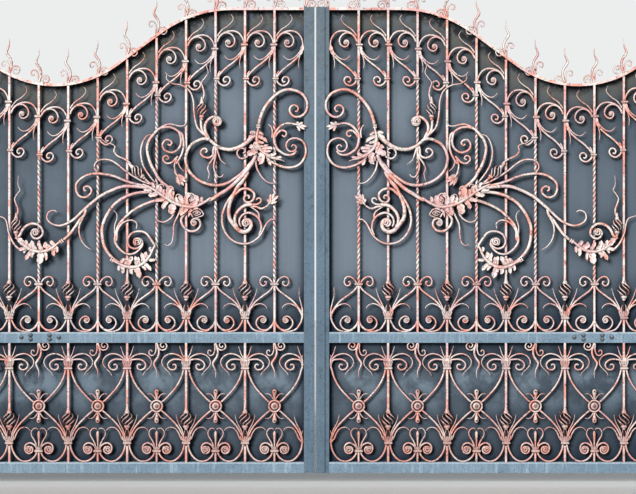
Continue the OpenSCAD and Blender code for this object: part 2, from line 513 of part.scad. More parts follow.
// Width at the start, width at the end, and the points of each strand
strands = [
  [14, 7, [[565, 860], [545, 770], [515, 690], [470, 620], [410, 555], [340, 505], [270, 487],
    [190, 500], [125, 540], [90, 600], [85, 660], [105, 715], [150, 750], [200, 755], [240, 730],
    [257, 690], [245, 655], [215, 640], [185, 650], [172, 675], [185, 700], [205, 700]]],
  [11, 6, [[490, 1135], [455, 1180], [419, 1204], [360, 1232], [281, 1251], [203, 1241], [150, 1210],
    [116, 1163], [100, 1116], [99, 1070], [113, 1016], [150, 979], [207, 963], [260, 979], [288, 1016],
    [288, 1057], [263, 1088], [228, 1094], [200, 1076], [192, 1051], [207, 1032], [225, 1030],
    [241, 1048]]],
  [12, 8, [[165, 848], [200, 830], [240, 820], [290, 820], [340, 842], [385, 890], [408, 940],
    [406, 991], [397, 1032], [378, 1069], [344, 1098], [297, 1124], [241, 1127], [206, 1110],
    [192, 1085]]],
  [10, 7, [[408, 960], [391, 938], [375, 916], [350, 894], [322, 888], [297, 898], [288, 916],
    [294, 938], [313, 948], [331, 932]]],
  [9, 3, [[430, 960], [425, 900], [440, 850], [465, 830]]],
  [8, 6, [[650, 1120], [690, 1155], [740, 1160], [772, 1115], [750, 1068], [705, 1065], [690, 1095],
    [715, 1110]]],
  [20, 9, [[615, 945], [645, 975], [690, 1015], [760, 1055], [850, 1075], [940, 1055], [1000, 1015],
    [1060, 960], [1108, 900], [1122, 850], [1126, 790], [1128, 750]]],
  [9, 2, [[1113, 605], [1103, 570], [1095, 530], [1105, 470], [1120, 420], [1085, 370], [1055, 320],
    [1070, 260], [1060, 220]]],
  [12, 9, [[1040, 980], [1080, 900], [1085, 840], [1060, 790], [1010, 755], [960, 760], [930, 790],
    [940, 825], [970, 835], [1000, 815], [990, 780]]],
  [9, 3, [[1098, 930], [1135, 890], [1165, 850], [1185, 770], [1195, 680], [1200, 600], [1225, 520],
    [1270, 470], [1330, 440], [1400, 430], [1450, 400], [1465, 370], [1455, 335]]],
  [12, 12, [[1035, 980], [1070, 972], [1105, 970], [1150, 985], [1210, 1020], [1255, 1080],
    [1275, 1150], [1275, 1180], [1260, 1250], [1215, 1320], [1140, 1380], [1050, 1415], [960, 1425],
    [870, 1405], [790, 1355], [720, 1300], [650, 1220], [600, 1160]]],
  [10, 3, [[985, 1025], [970, 1070], [950, 1130], [930, 1180], [880, 1220]]],
  [10, 4, [[985, 1025], [982, 1090], [985, 1150], [1000, 1230], [990, 1290], [960, 1340], [925, 1340],
    [905, 1315]]],
  [10, 3, [[990, 1120], [1005, 1160], [1040, 1210], [1060, 1260], [1045, 1310], [1060, 1380]]],
  [10, 7, [[995, 1040], [1005, 1080], [1010, 1130], [1050, 1155], [1100, 1145], [1130, 1110],
    [1115, 1075], [1080, 1065], [1065, 1090], [1085, 1105]]],
  [9, 3, [[590, 1160], [580, 1250], [540, 1330], [480, 1390], [430, 1405], [385, 1400]]],
  [16, 14, [[590, 1120], [600, 1160], [640, 1230], [700, 1310], [780, 1390], [860, 1460], [940, 1510],
    [1000, 1550], [1050, 1575]]],
  [12, 6, [[620, 1190], [660, 1250], [707, 1372], [745, 1421], [790, 1481], [831, 1537], [865, 1586],
    [891, 1635], [915, 1710], [918, 1790], [895, 1870], [850, 1935], [790, 1980], [720, 1997],
    [660, 1993], [600, 1965], [545, 1915], [510, 1850], [480, 1795], [437, 1758], [404, 1766]]],
  [18, 8, [[660, 1290], [700, 1360], [770, 1440], [812, 1530], [835, 1582], [850, 1635], [854, 1691],
    [846, 1747], [820, 1788], [770, 1850], [735, 1875], [690, 1880], [650, 1855], [633, 1815],
    [640, 1780], [668, 1760], [700, 1765], [715, 1790], [705, 1815], [680, 1822], [665, 1805]]],
  [11, 8, [[812, 1530], [771, 1496], [737, 1466], [689, 1456], [640, 1470], [606, 1503], [604, 1541],
    [625, 1578], [662, 1593], [692, 1582], [704, 1552], [689, 1526], [662, 1526], [651, 1541],
    [662, 1556]]],
  [14, 11, [[620, 1612], [650, 1616], [689, 1620], [737, 1650], [775, 1695], [794, 1747], [786, 1803],
    [764, 1830]]],
  [9, 6, [[632, 1631], [584, 1635], [539, 1653], [501, 1642], [464, 1616]]],
  [9, 6, [[632, 1612], [584, 1612], [550, 1597], [535, 1575], [546, 1552], [569, 1552], [584, 1571]]],
  [9, 4, [[556, 1756], [556, 1721], [569, 1687], [606, 1657], [650, 1630]]],
  [10, 8, [[560, 1915], [539, 1865], [535, 1830], [546, 1777], [576, 1732], [625, 1702], [670, 1694],
    [715, 1713], [745, 1751], [749, 1796], [734, 1830]]],
  [11, 8, [[1240, 1660], [1270, 1690], [1296, 1721], [1319, 1759], [1311, 1804], [1278, 1849],
    [1229, 1875], [1173, 1867], [1139, 1834], [1131, 1796], [1146, 1762], [1184, 1751], [1214, 1770],
    [1218, 1800], [1195, 1819], [1173, 1800], [1184, 1777]]],
  [10, 3, [[1305, 1600], [1325, 1660], [1350, 1720], [1390, 1810], [1395, 1900], [1410, 1980],
    [1450, 2015], [1485, 2000]]],
  [9, 4, [[1380, 1660], [1398, 1717], [1435, 1759], [1491, 1785], [1540, 1774], [1563, 1744]]],
  [10, 9, [[1560, 890], [1544, 876], [1494, 858], [1434, 855], [1381, 873], [1337, 905], [1312, 921],
    [1300, 960], [1295, 1040], [1310, 1110], [1345, 1180], [1370, 1215]]],
  [10, 8, [[1344, 900], [1330, 930], [1320, 1000], [1340, 1060], [1390, 1100], [1440, 1100],
    [1490, 1070], [1500, 1020], [1470, 980], [1430, 985], [1410, 1010], [1430, 1035], [1450, 1020]]],
  [3, 9, [[1266, 788], [1269, 813], [1294, 841], [1341, 844], [1388, 832], [1441, 826], [1494, 845],
    [1544, 876]]],
  [12, 12, [[1544, 876], [1598, 936], [1638, 996], [1653, 1066], [1638, 1156], [1608, 1236],
    [1568, 1306], [1548, 1346], [1500, 1400], [1440, 1450], [1400, 1530]]],
  [9, 6, [[1350, 1140], [1370, 1160], [1410, 1200], [1460, 1210], [1495, 1180], [1490, 1145],
    [1460, 1135], [1440, 1160], [1465, 1175]]],
  [8, 6, [[1360, 1170], [1370, 1180], [1385, 1230], [1375, 1290], [1350, 1330]]],
  [8, 3, [[1350, 1180], [1335, 1240], [1290, 1290]]],
  [8, 6, [[1598, 930], [1648, 936], [1688, 986], [1713, 1066], [1713, 1136], [1693, 1226], [1648, 1306],
    [1578, 1396]]],
  [9, 2, [[1806, 1226], [1840, 1190], [1878, 1166], [1943, 1136], [1978, 1091], [1968, 1046],
    [1998, 1021], [2048, 1011], [2088, 981], [2108, 961]]],
  [9, 9, [[1600, 1425], [1655, 1380], [1704, 1332]]],
  [8, 6, [[1600, 1420], [1698, 1386], [1848, 1296], [1948, 1216], [2008, 1181], [2068, 1171],
    [2128, 1181], [2163, 1216], [2168, 1256], [2138, 1306]]],
  [11, 8, [[1580, 1450], [1698, 1428], [1848, 1388], [1968, 1338], [2088, 1313], [2188, 1313],
    [2268, 1338], [2338, 1398], [2348, 1468], [2318, 1528], [2258, 1543], [2208, 1508], [2198, 1468],
    [2228, 1436], [2268, 1443], [2268, 1473], [2248, 1478]]],
  [14, 12, [[1600, 1450], [1698, 1443], [1810, 1434], [1898, 1438], [1988, 1470], [2108, 1530],
    [2208, 1610], [2288, 1680]]],
  [12, 4, [[2268, 1665], [2288, 1680], [2348, 1740], [2418, 1790], [2508, 1820], [2588, 1800],
    [2633, 1750], [2618, 1690], [2568, 1670], [2538, 1685]]],
  [11, 12, [[2250, 1660], [2268, 1720], [2308, 1760], [2348, 1820], [2398, 1890], [2448, 1940],
    [2488, 1965]]],
  [10, 3, [[2260, 1690], [2278, 1740], [2313, 1810], [2318, 1890], [2293, 1970], [2248, 2025],
    [2198, 2055]]],
  [13, 12, [[1600, 1490], [1648, 1490], [1748, 1500], [1848, 1530], [1948, 1590], [2018, 1670],
    [2068, 1760], [2093, 1850], [2088, 1950], [2063, 2040], [2008, 2120], [1948, 2170], [1878, 2205],
    [1828, 2215]]],
  [12, 8, [[1500, 1545], [1548, 1570], [1608, 1585], [1698, 1620], [1788, 1670], [1868, 1740],
    [1928, 1810], [1958, 1890], [1968, 1970], [1938, 2030], [1878, 2085], [1818, 2100], [1758, 2080],
    [1708, 2030], [1693, 1990]]],
  [10, 7, [[1573, 2040], [1578, 2015], [1618, 1950], [1668, 1890], [1738, 1875], [1808, 1900],
    [1843, 1960], [1828, 2020], [1778, 2045], [1728, 2030], [1698, 1990], [1713, 1955], [1748, 1945],
    [1783, 1970], [1773, 2005], [1743, 2005]]],
  [10, 5, [[1958, 1970], [1948, 1940], [1943, 1870], [1898, 1800], [1838, 1770], [1788, 1770],
    [1753, 1800], [1758, 1850]]],
  [7, 2, [[1962, 1910], [1972, 1880], [1968, 1810], [1948, 1750], [1953, 1700], [1983, 1670]]],
  [12, 7, [[2943, 1945], [2900, 1915], [2878, 1870], [2838, 1825], [2778, 1800], [2718, 1815],
    [2678, 1860], [2678, 1910], [2718, 1945], [2763, 1940], [2788, 1900], [2773, 1865], [2738, 1855],
    [2713, 1875], [2723, 1900], [2743, 1900]]],
  [9, 2, [[2931, 1745], [2923, 1710], [2918, 1660], [2943, 1590], [2948, 1550], [2918, 1500],
    [2898, 1470], [2918, 1415], [2913, 1326]]],
  [10, 3, [[2880, 2040], [2913, 2045], [2968, 1980], [3008, 1890], [3023, 1810], [3048, 1750],
    [3116, 1725], [3190, 1700]]]
];
// Place and scale of each leaf's own grid, then its rib and its leaflets
leaves = [
  [131.6, 1722, 0.16667, [
    [83.9983, 17.9996, [[866, 120], [872, 220], [900, 320], [912, 430], [905, 560], [880, 680],
      [830, 770], [750, 850], [650, 925], [540, 985], [420, 1035], [300, 1065], [190, 1095], [125, 1130]]],
    [64, 20, [[885, 290], [800, 320], [715, 388]]],
    [84, 26, [[900, 380], [800, 440], [690, 500], [600, 600]]],
    [64, 20, [[900, 520], [810, 585], [690, 600]]],
    [56, 18, [[860, 690], [740, 690], [570, 655]]],
    [76, 24, [[820, 760], [660, 745], [520, 745], [475, 800]]],
    [68, 21, [[780, 810], [640, 835], [490, 830]]],
    [76, 24, [[560, 965], [450, 935], [350, 890]]],
    [64, 20, [[380, 1045], [290, 1010], [190, 1010]]],
    [80, 25, [[590, 1050], [560, 1140], [503, 1250]]],
    [132, 41, [[835, 880], [760, 990], [770, 1110], [858, 1222]]],
    [72, 22, [[830, 960], [850, 1040], [870, 1130]]],
    [72, 22, [[940, 330], [1020, 290], [1120, 330]]],
    [96, 30, [[950, 370], [1040, 410], [1165, 460]]],
    [96, 30, [[880, 800], [940, 680], [985, 565]]],
    [104, 32, [[900, 790], [1010, 700], [1140, 745]]],
    [152, 48, [[890, 830], [1000, 850], [1110, 900], [1185, 965]]]
  ]],
  [511.6, 1446.5, 0.27266, [
    [51.346, 40.3433, [[-40, 310], [20, 355], [100, 405], [200, 452], [300, 472], [420, 460],
      [540, 425], [640, 380], [740, 320], [840, 250], [940, 180], [1050, 118], [1150, 75]]],
    [56, 18, [[150, 425], [190, 370], [160, 320]]],
    [76, 24, [[350, 455], [250, 420], [205, 330], [260, 250]]],
    [72, 22, [[360, 450], [400, 360], [370, 270], [290, 235]]],
    [72, 22, [[470, 445], [470, 350], [520, 255]]],
    [100, 31, [[600, 395], [690, 300], [690, 190], [620, 140]]],
    [64, 20, [[640, 360], [640, 270], [600, 190]]],
    [76, 24, [[790, 275], [850, 190], [830, 95]]],
    [88, 28, [[390, 480], [450, 540], [490, 625]]],
    [56, 18, [[370, 480], [400, 530], [440, 560]]],
    [112, 35, [[610, 420], [640, 510], [650, 605]]],
    [68, 21, [[700, 355], [770, 430], [797, 515]]],
    [56, 18, [[750, 325], [850, 350], [945, 360]]],
    [68, 21, [[880, 235], [970, 260], [1055, 268]]]
  ]],
  [744.3, 1218.5, 0.16964, [
    [88.4225, 64.8432, [[125, 485], [190, 600], [255, 750], [345, 880], [450, 980], [580, 1060],
      [710, 1095], [850, 1100], [1000, 1062], [1130, 1000], [1240, 945], [1335, 885]]],
    [72, 22, [[200, 660], [270, 600], [240, 530]]],
    [84, 26, [[310, 840], [390, 760], [375, 655]]],
    [104, 32, [[480, 980], [460, 850], [515, 680]]],
    [84, 26, [[560, 1030], [600, 920], [590, 800]]],
    [88, 28, [[650, 1060], [650, 920], [690, 780]]],
    [112, 35, [[900, 1050], [830, 910], [750, 790]]],
    [84, 26, [[990, 1030], [940, 920], [900, 830]]],
    [80, 25, [[1120, 980], [1040, 920], [990, 835]]],
    [72, 22, [[310, 890], [210, 900], [112, 880]]],
    [96, 30, [[460, 1020], [330, 1070], [232, 1200]]],
    [64, 20, [[500, 1060], [430, 1110], [375, 1195]]],
    [140, 44, [[690, 1110], [600, 1220], [558, 1415]]],
    [88, 28, [[720, 1110], [810, 1180], [750, 1305]]],
    [88, 28, [[1080, 1040], [1020, 1150], [1040, 1290]]],
    [64, 20, [[1110, 1040], [1150, 1110], [1135, 1205]]]
  ]],
  [1224.1, 1266, 0.18482, [
    [70.3387, 27.0533, [[-80, 590], [0, 640], [100, 725], [200, 795], [330, 848], [480, 868],
      [620, 848], [760, 785], [900, 685], [1000, 595], [1075, 520], [1086, 392]]],
    [88, 28, [[110, 730], [150, 650], [225, 595]]],
    [120, 38, [[190, 790], [300, 730], [390, 660]]],
    [64, 20, [[230, 800], [330, 690], [320, 605]]],
    [84, 26, [[410, 850], [470, 740], [540, 610]]],
    [96, 30, [[560, 850], [650, 720], [690, 565]]],
    [64, 20, [[620, 830], [720, 730], [735, 640]]],
    [80, 25, [[740, 780], [820, 660], [835, 560]]],
    [120, 38, [[860, 710], [950, 610], [1040, 510]]],
    [64, 20, [[60, 720], [30, 800], [45, 900]]],
    [84, 26, [[90, 740], [130, 860], [108, 995]]],
    [64, 20, [[360, 870], [310, 970], [322, 1100]]],
    [152, 48, [[440, 880], [460, 1020], [490, 1195]]],
    [72, 22, [[600, 865], [680, 930], [670, 1030]]],
    [92, 29, [[650, 860], [770, 950], [850, 1095]]],
    [80, 25, [[790, 770], [910, 790], [1025, 832]]],
    [56, 18, [[810, 790], [870, 850], [885, 915]]]
  ]],
  [3.3, 2111.5, 0.4847, [
    [20.6313, 16.5051, [[240, 822], [205, 828], [165, 838]]],
    [21, 16, [[190, 832], [88, 854]]],
    [19, 14, [[185, 838], [106, 880]]],
    [21, 16, [[185, 835], [158, 898]]],
    [19, 14, [[190, 834], [124, 808]]],
    [18, 13, [[195, 830], [172, 801]]]
  ]],
  [3.3, 2111.5, 0.4847, [
    [20.6313, 16.5051, [[470, 1620], [452, 1598], [435, 1570]]],
    [22, 17, [[448, 1592], [365, 1524]]],
    [21, 16, [[446, 1588], [408, 1499]]],
    [19, 14, [[450, 1588], [441, 1508]]],
    [21, 16, [[452, 1598], [477, 1555]]],
    [21, 16, [[452, 1600], [378, 1582]]]
  ]],
  [3.3, 2111.5, 0.4847, [
    [20.6313, 16.5051, [[1385, 1290], [1365, 1318], [1345, 1350]]],
    [22, 17, [[1360, 1325], [1268, 1360]]],
    [21, 16, [[1356, 1332], [1264, 1396]]],
    [22, 17, [[1354, 1335], [1290, 1432]]],
    [21, 16, [[1358, 1335], [1331, 1432]]],
    [19, 14, [[1362, 1335], [1352, 1410]]],
    [18, 13, [[1362, 1320], [1298, 1338]]]
  ]]
];
// Middle and lean of each basket in the ornament
ornament_baskets = [[1117, 680, 0], [1750, 1290, 47], [2933, 1815, 0]];
ornament_basket = 0.87;
// Middle and radius of each boss in the ornament, the last of which is the rose
bosses = [
  [970, 800, 19], [674, 1788, 17], [1190, 1795, 12], [1746, 1979, 19.5], [2747, 1886, 18],
  [1165, 1700, 31]
];
module ornament_drawing() {
  translate([grid_u, grid_z]) scale([grid, -grid])
    for (s = strands) strand(s[2], s[0] / grid, s[1] / grid);
  for (l = leaves) translate([l[0], l[1]]) scale([l[2], -l[2]])
    for (s = l[3]) strand(s[2], s[0], s[1]);
}
module great_scroll(side) {
  color(copper) on_leaf(side) {
    difference() {
      union() {
        upright(-ornament_d, ornament_d) welded() ornament_drawing();
        for (b = bosses) translate([grid_u + grid * b[0], 0, grid_z - grid * b[1]])
          rotate([90, 0, 0]) cylinder(h = ornament_d + boss_rise, r = b[2]);
      }
      for (c = collar_spots) translate([c.x, -collar_t / 2, c.y])
        cube([collar_w + 2 * fit, collar_t + 4 * fit, collar_h + 2 * fit], center = true);
    }
    for (b = ornament_baskets) translate([grid_u + grid * b[0], 2 - ornament_d, grid_z - grid * b[1]])
      rotate([0, b[2], 0]) scale(ornament_basket) basket();
  }
}

post(-1);  // left_post
post(1);  // right_post
base_plate(-1);  // left_base_plate
base_plate(1);  // right_base_plate
post_cap(-1);  // left_post_cap
post_cap(1);  // right_post_cap
hinge_pins(-1);  // left_hinge_pins
hinge_pins(1);  // right_hinge_pins
cover_strip();
hinge_stile(-1);  // left_hinge_stile
hinge_stile(1);  // right_hinge_stile
meeting_stile(-1);  // left_meeting_stile
meeting_stile(1);  // right_meeting_stile
top_rail(-1);  // left_top_rail
top_rail(1);  // right_top_rail
level_rail(-1, mid_z);  // left_mid_rail
level_rail(1, mid_z);  // right_mid_rail
level_rail(-1, ground_gap);  // left_bottom_rail
level_rail(1, ground_gap);  // right_bottom_rail
upper_sheet(-1);  // left_upper_sheet
upper_sheet(1);  // right_upper_sheet
lower_sheet(-1);  // left_lower_sheet
lower_sheet(1);  // right_lower_sheet
hinge_eyes(-1);  // left_hinge_eyes
hinge_eyes(1);  // right_hinge_eyes
twisted_bars(-1);  // left_twisted_bars
twisted_bars(1);  // right_twisted_bars
basket_bars(-1);  // left_basket_bars
basket_bars(1);  // right_basket_bars
lower_bars(-1);  // left_lower_bars
lower_bars(1);  // right_lower_bars
finials(-1);  // left_finials
finials(1);  // right_finials
fern_scrolls(-1);  // left_fern_scrolls
fern_scrolls(1);  // right_fern_scrolls
crown_scrolls(-1);  // left_crown_scrolls
crown_scrolls(1);  // right_crown_scrolls
panel_scrolls(-1);  // left_panel_scrolls
panel_scrolls(1);  // right_panel_scrolls
rosettes(-1);  // left_rosettes
rosettes(1);  // right_rosettes
great_scroll(-1);  // left_great_scroll
great_scroll(1);  // right_great_scroll
collars(-1);  // left_collars
collars(1);  // right_collars
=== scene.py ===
"""Looks of a double-leaf driveway gate of forged iron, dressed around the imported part."""

import logging
import math
from collections.abc import Callable
from dataclasses import dataclass, field, replace
from enum import Enum

import bmesh
import bpy
from mathutils import Matrix, Vector


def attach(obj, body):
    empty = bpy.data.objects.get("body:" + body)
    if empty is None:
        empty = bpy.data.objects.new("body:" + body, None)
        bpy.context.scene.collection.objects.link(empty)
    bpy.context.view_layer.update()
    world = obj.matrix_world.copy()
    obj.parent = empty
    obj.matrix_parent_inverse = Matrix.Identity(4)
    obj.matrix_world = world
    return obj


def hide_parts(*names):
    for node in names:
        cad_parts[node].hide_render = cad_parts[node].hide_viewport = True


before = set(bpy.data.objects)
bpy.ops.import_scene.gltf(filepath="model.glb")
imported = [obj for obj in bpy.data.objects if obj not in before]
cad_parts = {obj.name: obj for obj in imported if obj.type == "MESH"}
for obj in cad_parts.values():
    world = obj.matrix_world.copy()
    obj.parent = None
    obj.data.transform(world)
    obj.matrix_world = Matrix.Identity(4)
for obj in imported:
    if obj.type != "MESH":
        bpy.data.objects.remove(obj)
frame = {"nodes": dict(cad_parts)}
LOG = logging.getLogger("gate")

Point = tuple[float, float]
Triple = tuple[float, float, float]
Colour = tuple[float, float, float]
# A stop of a swept line: across, up, to the front, width and tilt
Stop = tuple[float, float, float, float, float]

MM = 0.001
# The gate's middle and the leaves' front face in the part's frame, in millimetres
GATE_X = 1880.0
FRONT_Y = -25.0
# The mesh attribute that says how dark and bare a place is, or below 0 how bright it is rubbed; in places its
# darkness is painted shade
HOLLOW = "hollow"
# Faces that meet at more than this stay sharp
CREASE = math.radians(42)


class Side(Enum):
    """The two leaves, told apart by the sign of their outward direction."""

    LEFT = -1
    RIGHT = 1

    @property
    def label(self) -> str:
        """The word that the leaf's nodes start with."""
        return self.name.lower()

    @property
    def body(self) -> str:
        """The body that the leaf's pieces ride on."""
        return f"{self.label}_leaf"


class Row(Enum):
    """The rows of forged work, with the CAD node that each one stands for."""

    TWISTED = "twisted_bars"
    BASKET = "basket_bars"
    LOWER = "lower_bars"
    FINIAL = "finials"
    FERN = "fern_scrolls"
    CROWN = "crown_scrolls"
    PANEL = "panel_scrolls"
    ROSETTE = "rosettes"
    ORNAMENT = "great_scroll"
    COLLAR = "collars"


@dataclass(frozen=True)
class Gate:
    """Sizes of a leaf, in millimetres, as the part's source has them."""

    bay: float = 140
    bays: int = 12
    edge_in: float = 60
    edge_out: float = 1740
    tube: float = 50
    low_top: float = 105
    mid_z: float = 673
    mid_top: float = 723
    crest_z: float = 2254
    dip_z: float = 1892
    crest_run: float = 340
    dip_run: float = 1183
    crest_r: float = 570
    dip_r: float = 500
    rail_t: float = 12
    stile_rise: float = 14
    bar: float = 14
    fern_drop: float = 165
    fern_h: float = 161
    crown_z: float = 952
    basket_z: float = 926
    foot_z: float = 791
    plume_z: float = 552
    ring_z: float = 372
    low_basket_z: float = 311
    cell_z: float = 197
    bud_z: float = 159

    @property
    def twisted(self) -> range:
        """Numbers of the twisted uprights, which stand in the middle of the cells."""
        return range(1, self.bays, 2)

    @property
    def baskets(self) -> range:
        """Numbers of the uprights with baskets."""
        return range(2, self.bays, 2)

    def bar_u(self, i: int) -> float:
        """Distance of upright i from the gate's middle."""
        return self.edge_in + i * self.bay

    def top_line(self, u: float) -> float:
        """Underside of the top rail.

        Args:
            u: Distance from the gate's middle.

        Returns:
            The height at that place.
        """
        v = abs(u - self.edge_in - self.dip_run)
        du = self.dip_run - self.crest_run
        dz = self.dip_z + self.dip_r - self.crest_z + self.crest_r
        slope = math.atan2(du, dz) - math.acos((self.crest_r + self.dip_r) / math.hypot(du, dz))
        foot = self.dip_r * math.sin(slope)
        shoulder = du - self.crest_r * math.sin(slope)
        if v < foot:
            return self.dip_z + self.dip_r - math.sqrt(self.dip_r**2 - v * v)
        if v < shoulder:
            return self.dip_z + self.dip_r * (1 - math.cos(slope)) + (v - foot) * math.tan(slope)
        if v < du:
            return self.crest_z - self.crest_r + math.sqrt(self.crest_r**2 - (du - v) ** 2)
        return self.crest_z

    def rail_top(self, u: float) -> float:
        """Upper face of the top rail at u."""
        rise = (self.top_line(u + 1) - self.top_line(u - 1)) / 2
        return self.top_line(u) + self.rail_t * math.hypot(1, rise)

    def bar_top(self, u: float) -> float:
        """Upper end of an upright at u, which stays under the top rail."""
        return min(self.top_line(u - self.bar / 2), self.top_line(u + self.bar / 2))

    def fern_z(self, i: int) -> float:
        """Height of the upper collar of bay i."""
        return self.top_line(self.bar_u(i) + self.bay / 2) - self.fern_drop

    def fern_end(self, i: int) -> float:
        """Height of the collar on upright i that takes the last scroll of the bay before it."""
        return self.fern_z(i - 1) - self.fern_h


GATE = Gate()


@dataclass(frozen=True)
class Grid:
    """A drawing grid on the leaf, whose x runs out from the gate's middle and whose y runs down."""

    u: float = 3.3
    z: float = 2111.5
    scale: float = 0.4847

    def on_leaf(self, points: list[Point]) -> list[Point]:
        """Points of the grid in leaf millimetres."""
        return [(self.u + self.scale * x, self.z - self.scale * y) for x, y in points]

    def spot(self, x: float, y: float) -> Point:
        """One point of the grid in leaf millimetres."""
        return self.on_leaf([(x, y)])[0]


GRID = Grid()


def lerp(a: float, b: float, t: float) -> float:
    """A value between a and b."""
    return a + (b - a) * t


def smooth(points: list[Point], steps: int) -> list[Point]:
    """A smooth run through given points.

    Args:
        points: The points that the run passes.
        steps: Pieces between two of them.

    Returns:
        The finer run.
    """
    out: list[Point] = []
    last = len(points) - 1
    for i in range(last):
        near = [points[j] for j in (max(i - 1, 0), i, i + 1, min(i + 2, last))]
        for k in range(steps):
            t = k / steps
            point = []
            for a, b, c, d in zip(*near):
                square, cube = 2 * a - 5 * b + 4 * c - d, 3 * b - a - 3 * c + d
                point.append(0.5 * (2 * b + (c - a) * t + square * t * t + cube * t**3))
            out.append(tuple(point))
    out.append(points[-1])
    return out


def arc(u: float, z: float, radius: float, first: float, sweep: float, parts: int) -> list[Point]:
    """Points on an arc about u and z, from the first angle over the sweep, cut into parts."""
    angles = [first + sweep * k / parts for k in range(parts + 1)]
    return [(u + radius * math.cos(a), z + radius * math.sin(a)) for a in angles]


def add(name: str, data: bpy.types.ID) -> bpy.types.Object:
    """Makes an object and links it to the scene.

    Args:
        name: Its name.
        data: The mesh, curve, lamp or camera that it shows.

    Returns:
        The object.
    """
    item = bpy.data.objects.new(name, data)
    bpy.context.scene.collection.objects.link(item)
    return item


@dataclass(frozen=True)
class Strand:
    """A forged bar that follows given points on the leaf's face."""

    points: list[Point]
    start: float = 11
    end: float = 11
    middle: float | None = None
    lift: float = 0
    steps: int = 4
    tip_lift: float | None = None

    def width(self, t: float) -> float:
        """Width of the bar.

        Args:
            t: Share of the length.

        Returns:
            The width there.
        """
        if self.middle is None:
            return lerp(self.start, self.end, t)
        if t < 0.5:
            return lerp(self.start, self.middle, 2 * t)
        return lerp(self.middle, self.end, 2 * t - 1)

    def height(self, t: float) -> float:
        """Stand-off towards the viewer at share t of the length."""
        return self.lift if self.tip_lift is None else lerp(self.lift, self.tip_lift, t)

    def moved(self, dx: float, dy: float, sx: float = 1, sy: float = 1) -> "Strand":
        """The strand scaled, then moved on the face."""
        return replace(self, points=[(dx + sx * x, dy + sy * y) for x, y in self.points])


class Profile(Enum):
    """Cross-sections of the forged bars, as shares of the width, x across and y to the front."""

    FLAT = (
        (-0.5, -0.4), (0.5, -0.4), (0.5, -0.02), (0.37, 0.26),
        (0.11, 0.42), (-0.11, 0.42), (-0.37, 0.26), (-0.5, -0.02),
    )
    TWIST = (
        (-0.5, -0.5), (0, -0.34), (0.5, -0.5), (0.34, 0), (0.5, 0.5), (0, 0.34), (-0.5, 0.5), (-0.34, 0),
    )
    SQUARE = (
        (-0.5, -0.42), (-0.42, -0.5), (0.42, -0.5), (0.5, -0.42),
        (0.5, 0.42), (0.42, 0.5), (-0.42, 0.5), (-0.5, 0.42),
    )
    ROUND = ((0.5, 0), (0.25, 0.43), (-0.25, 0.43), (-0.5, 0), (-0.25, -0.43), (0.25, -0.43))


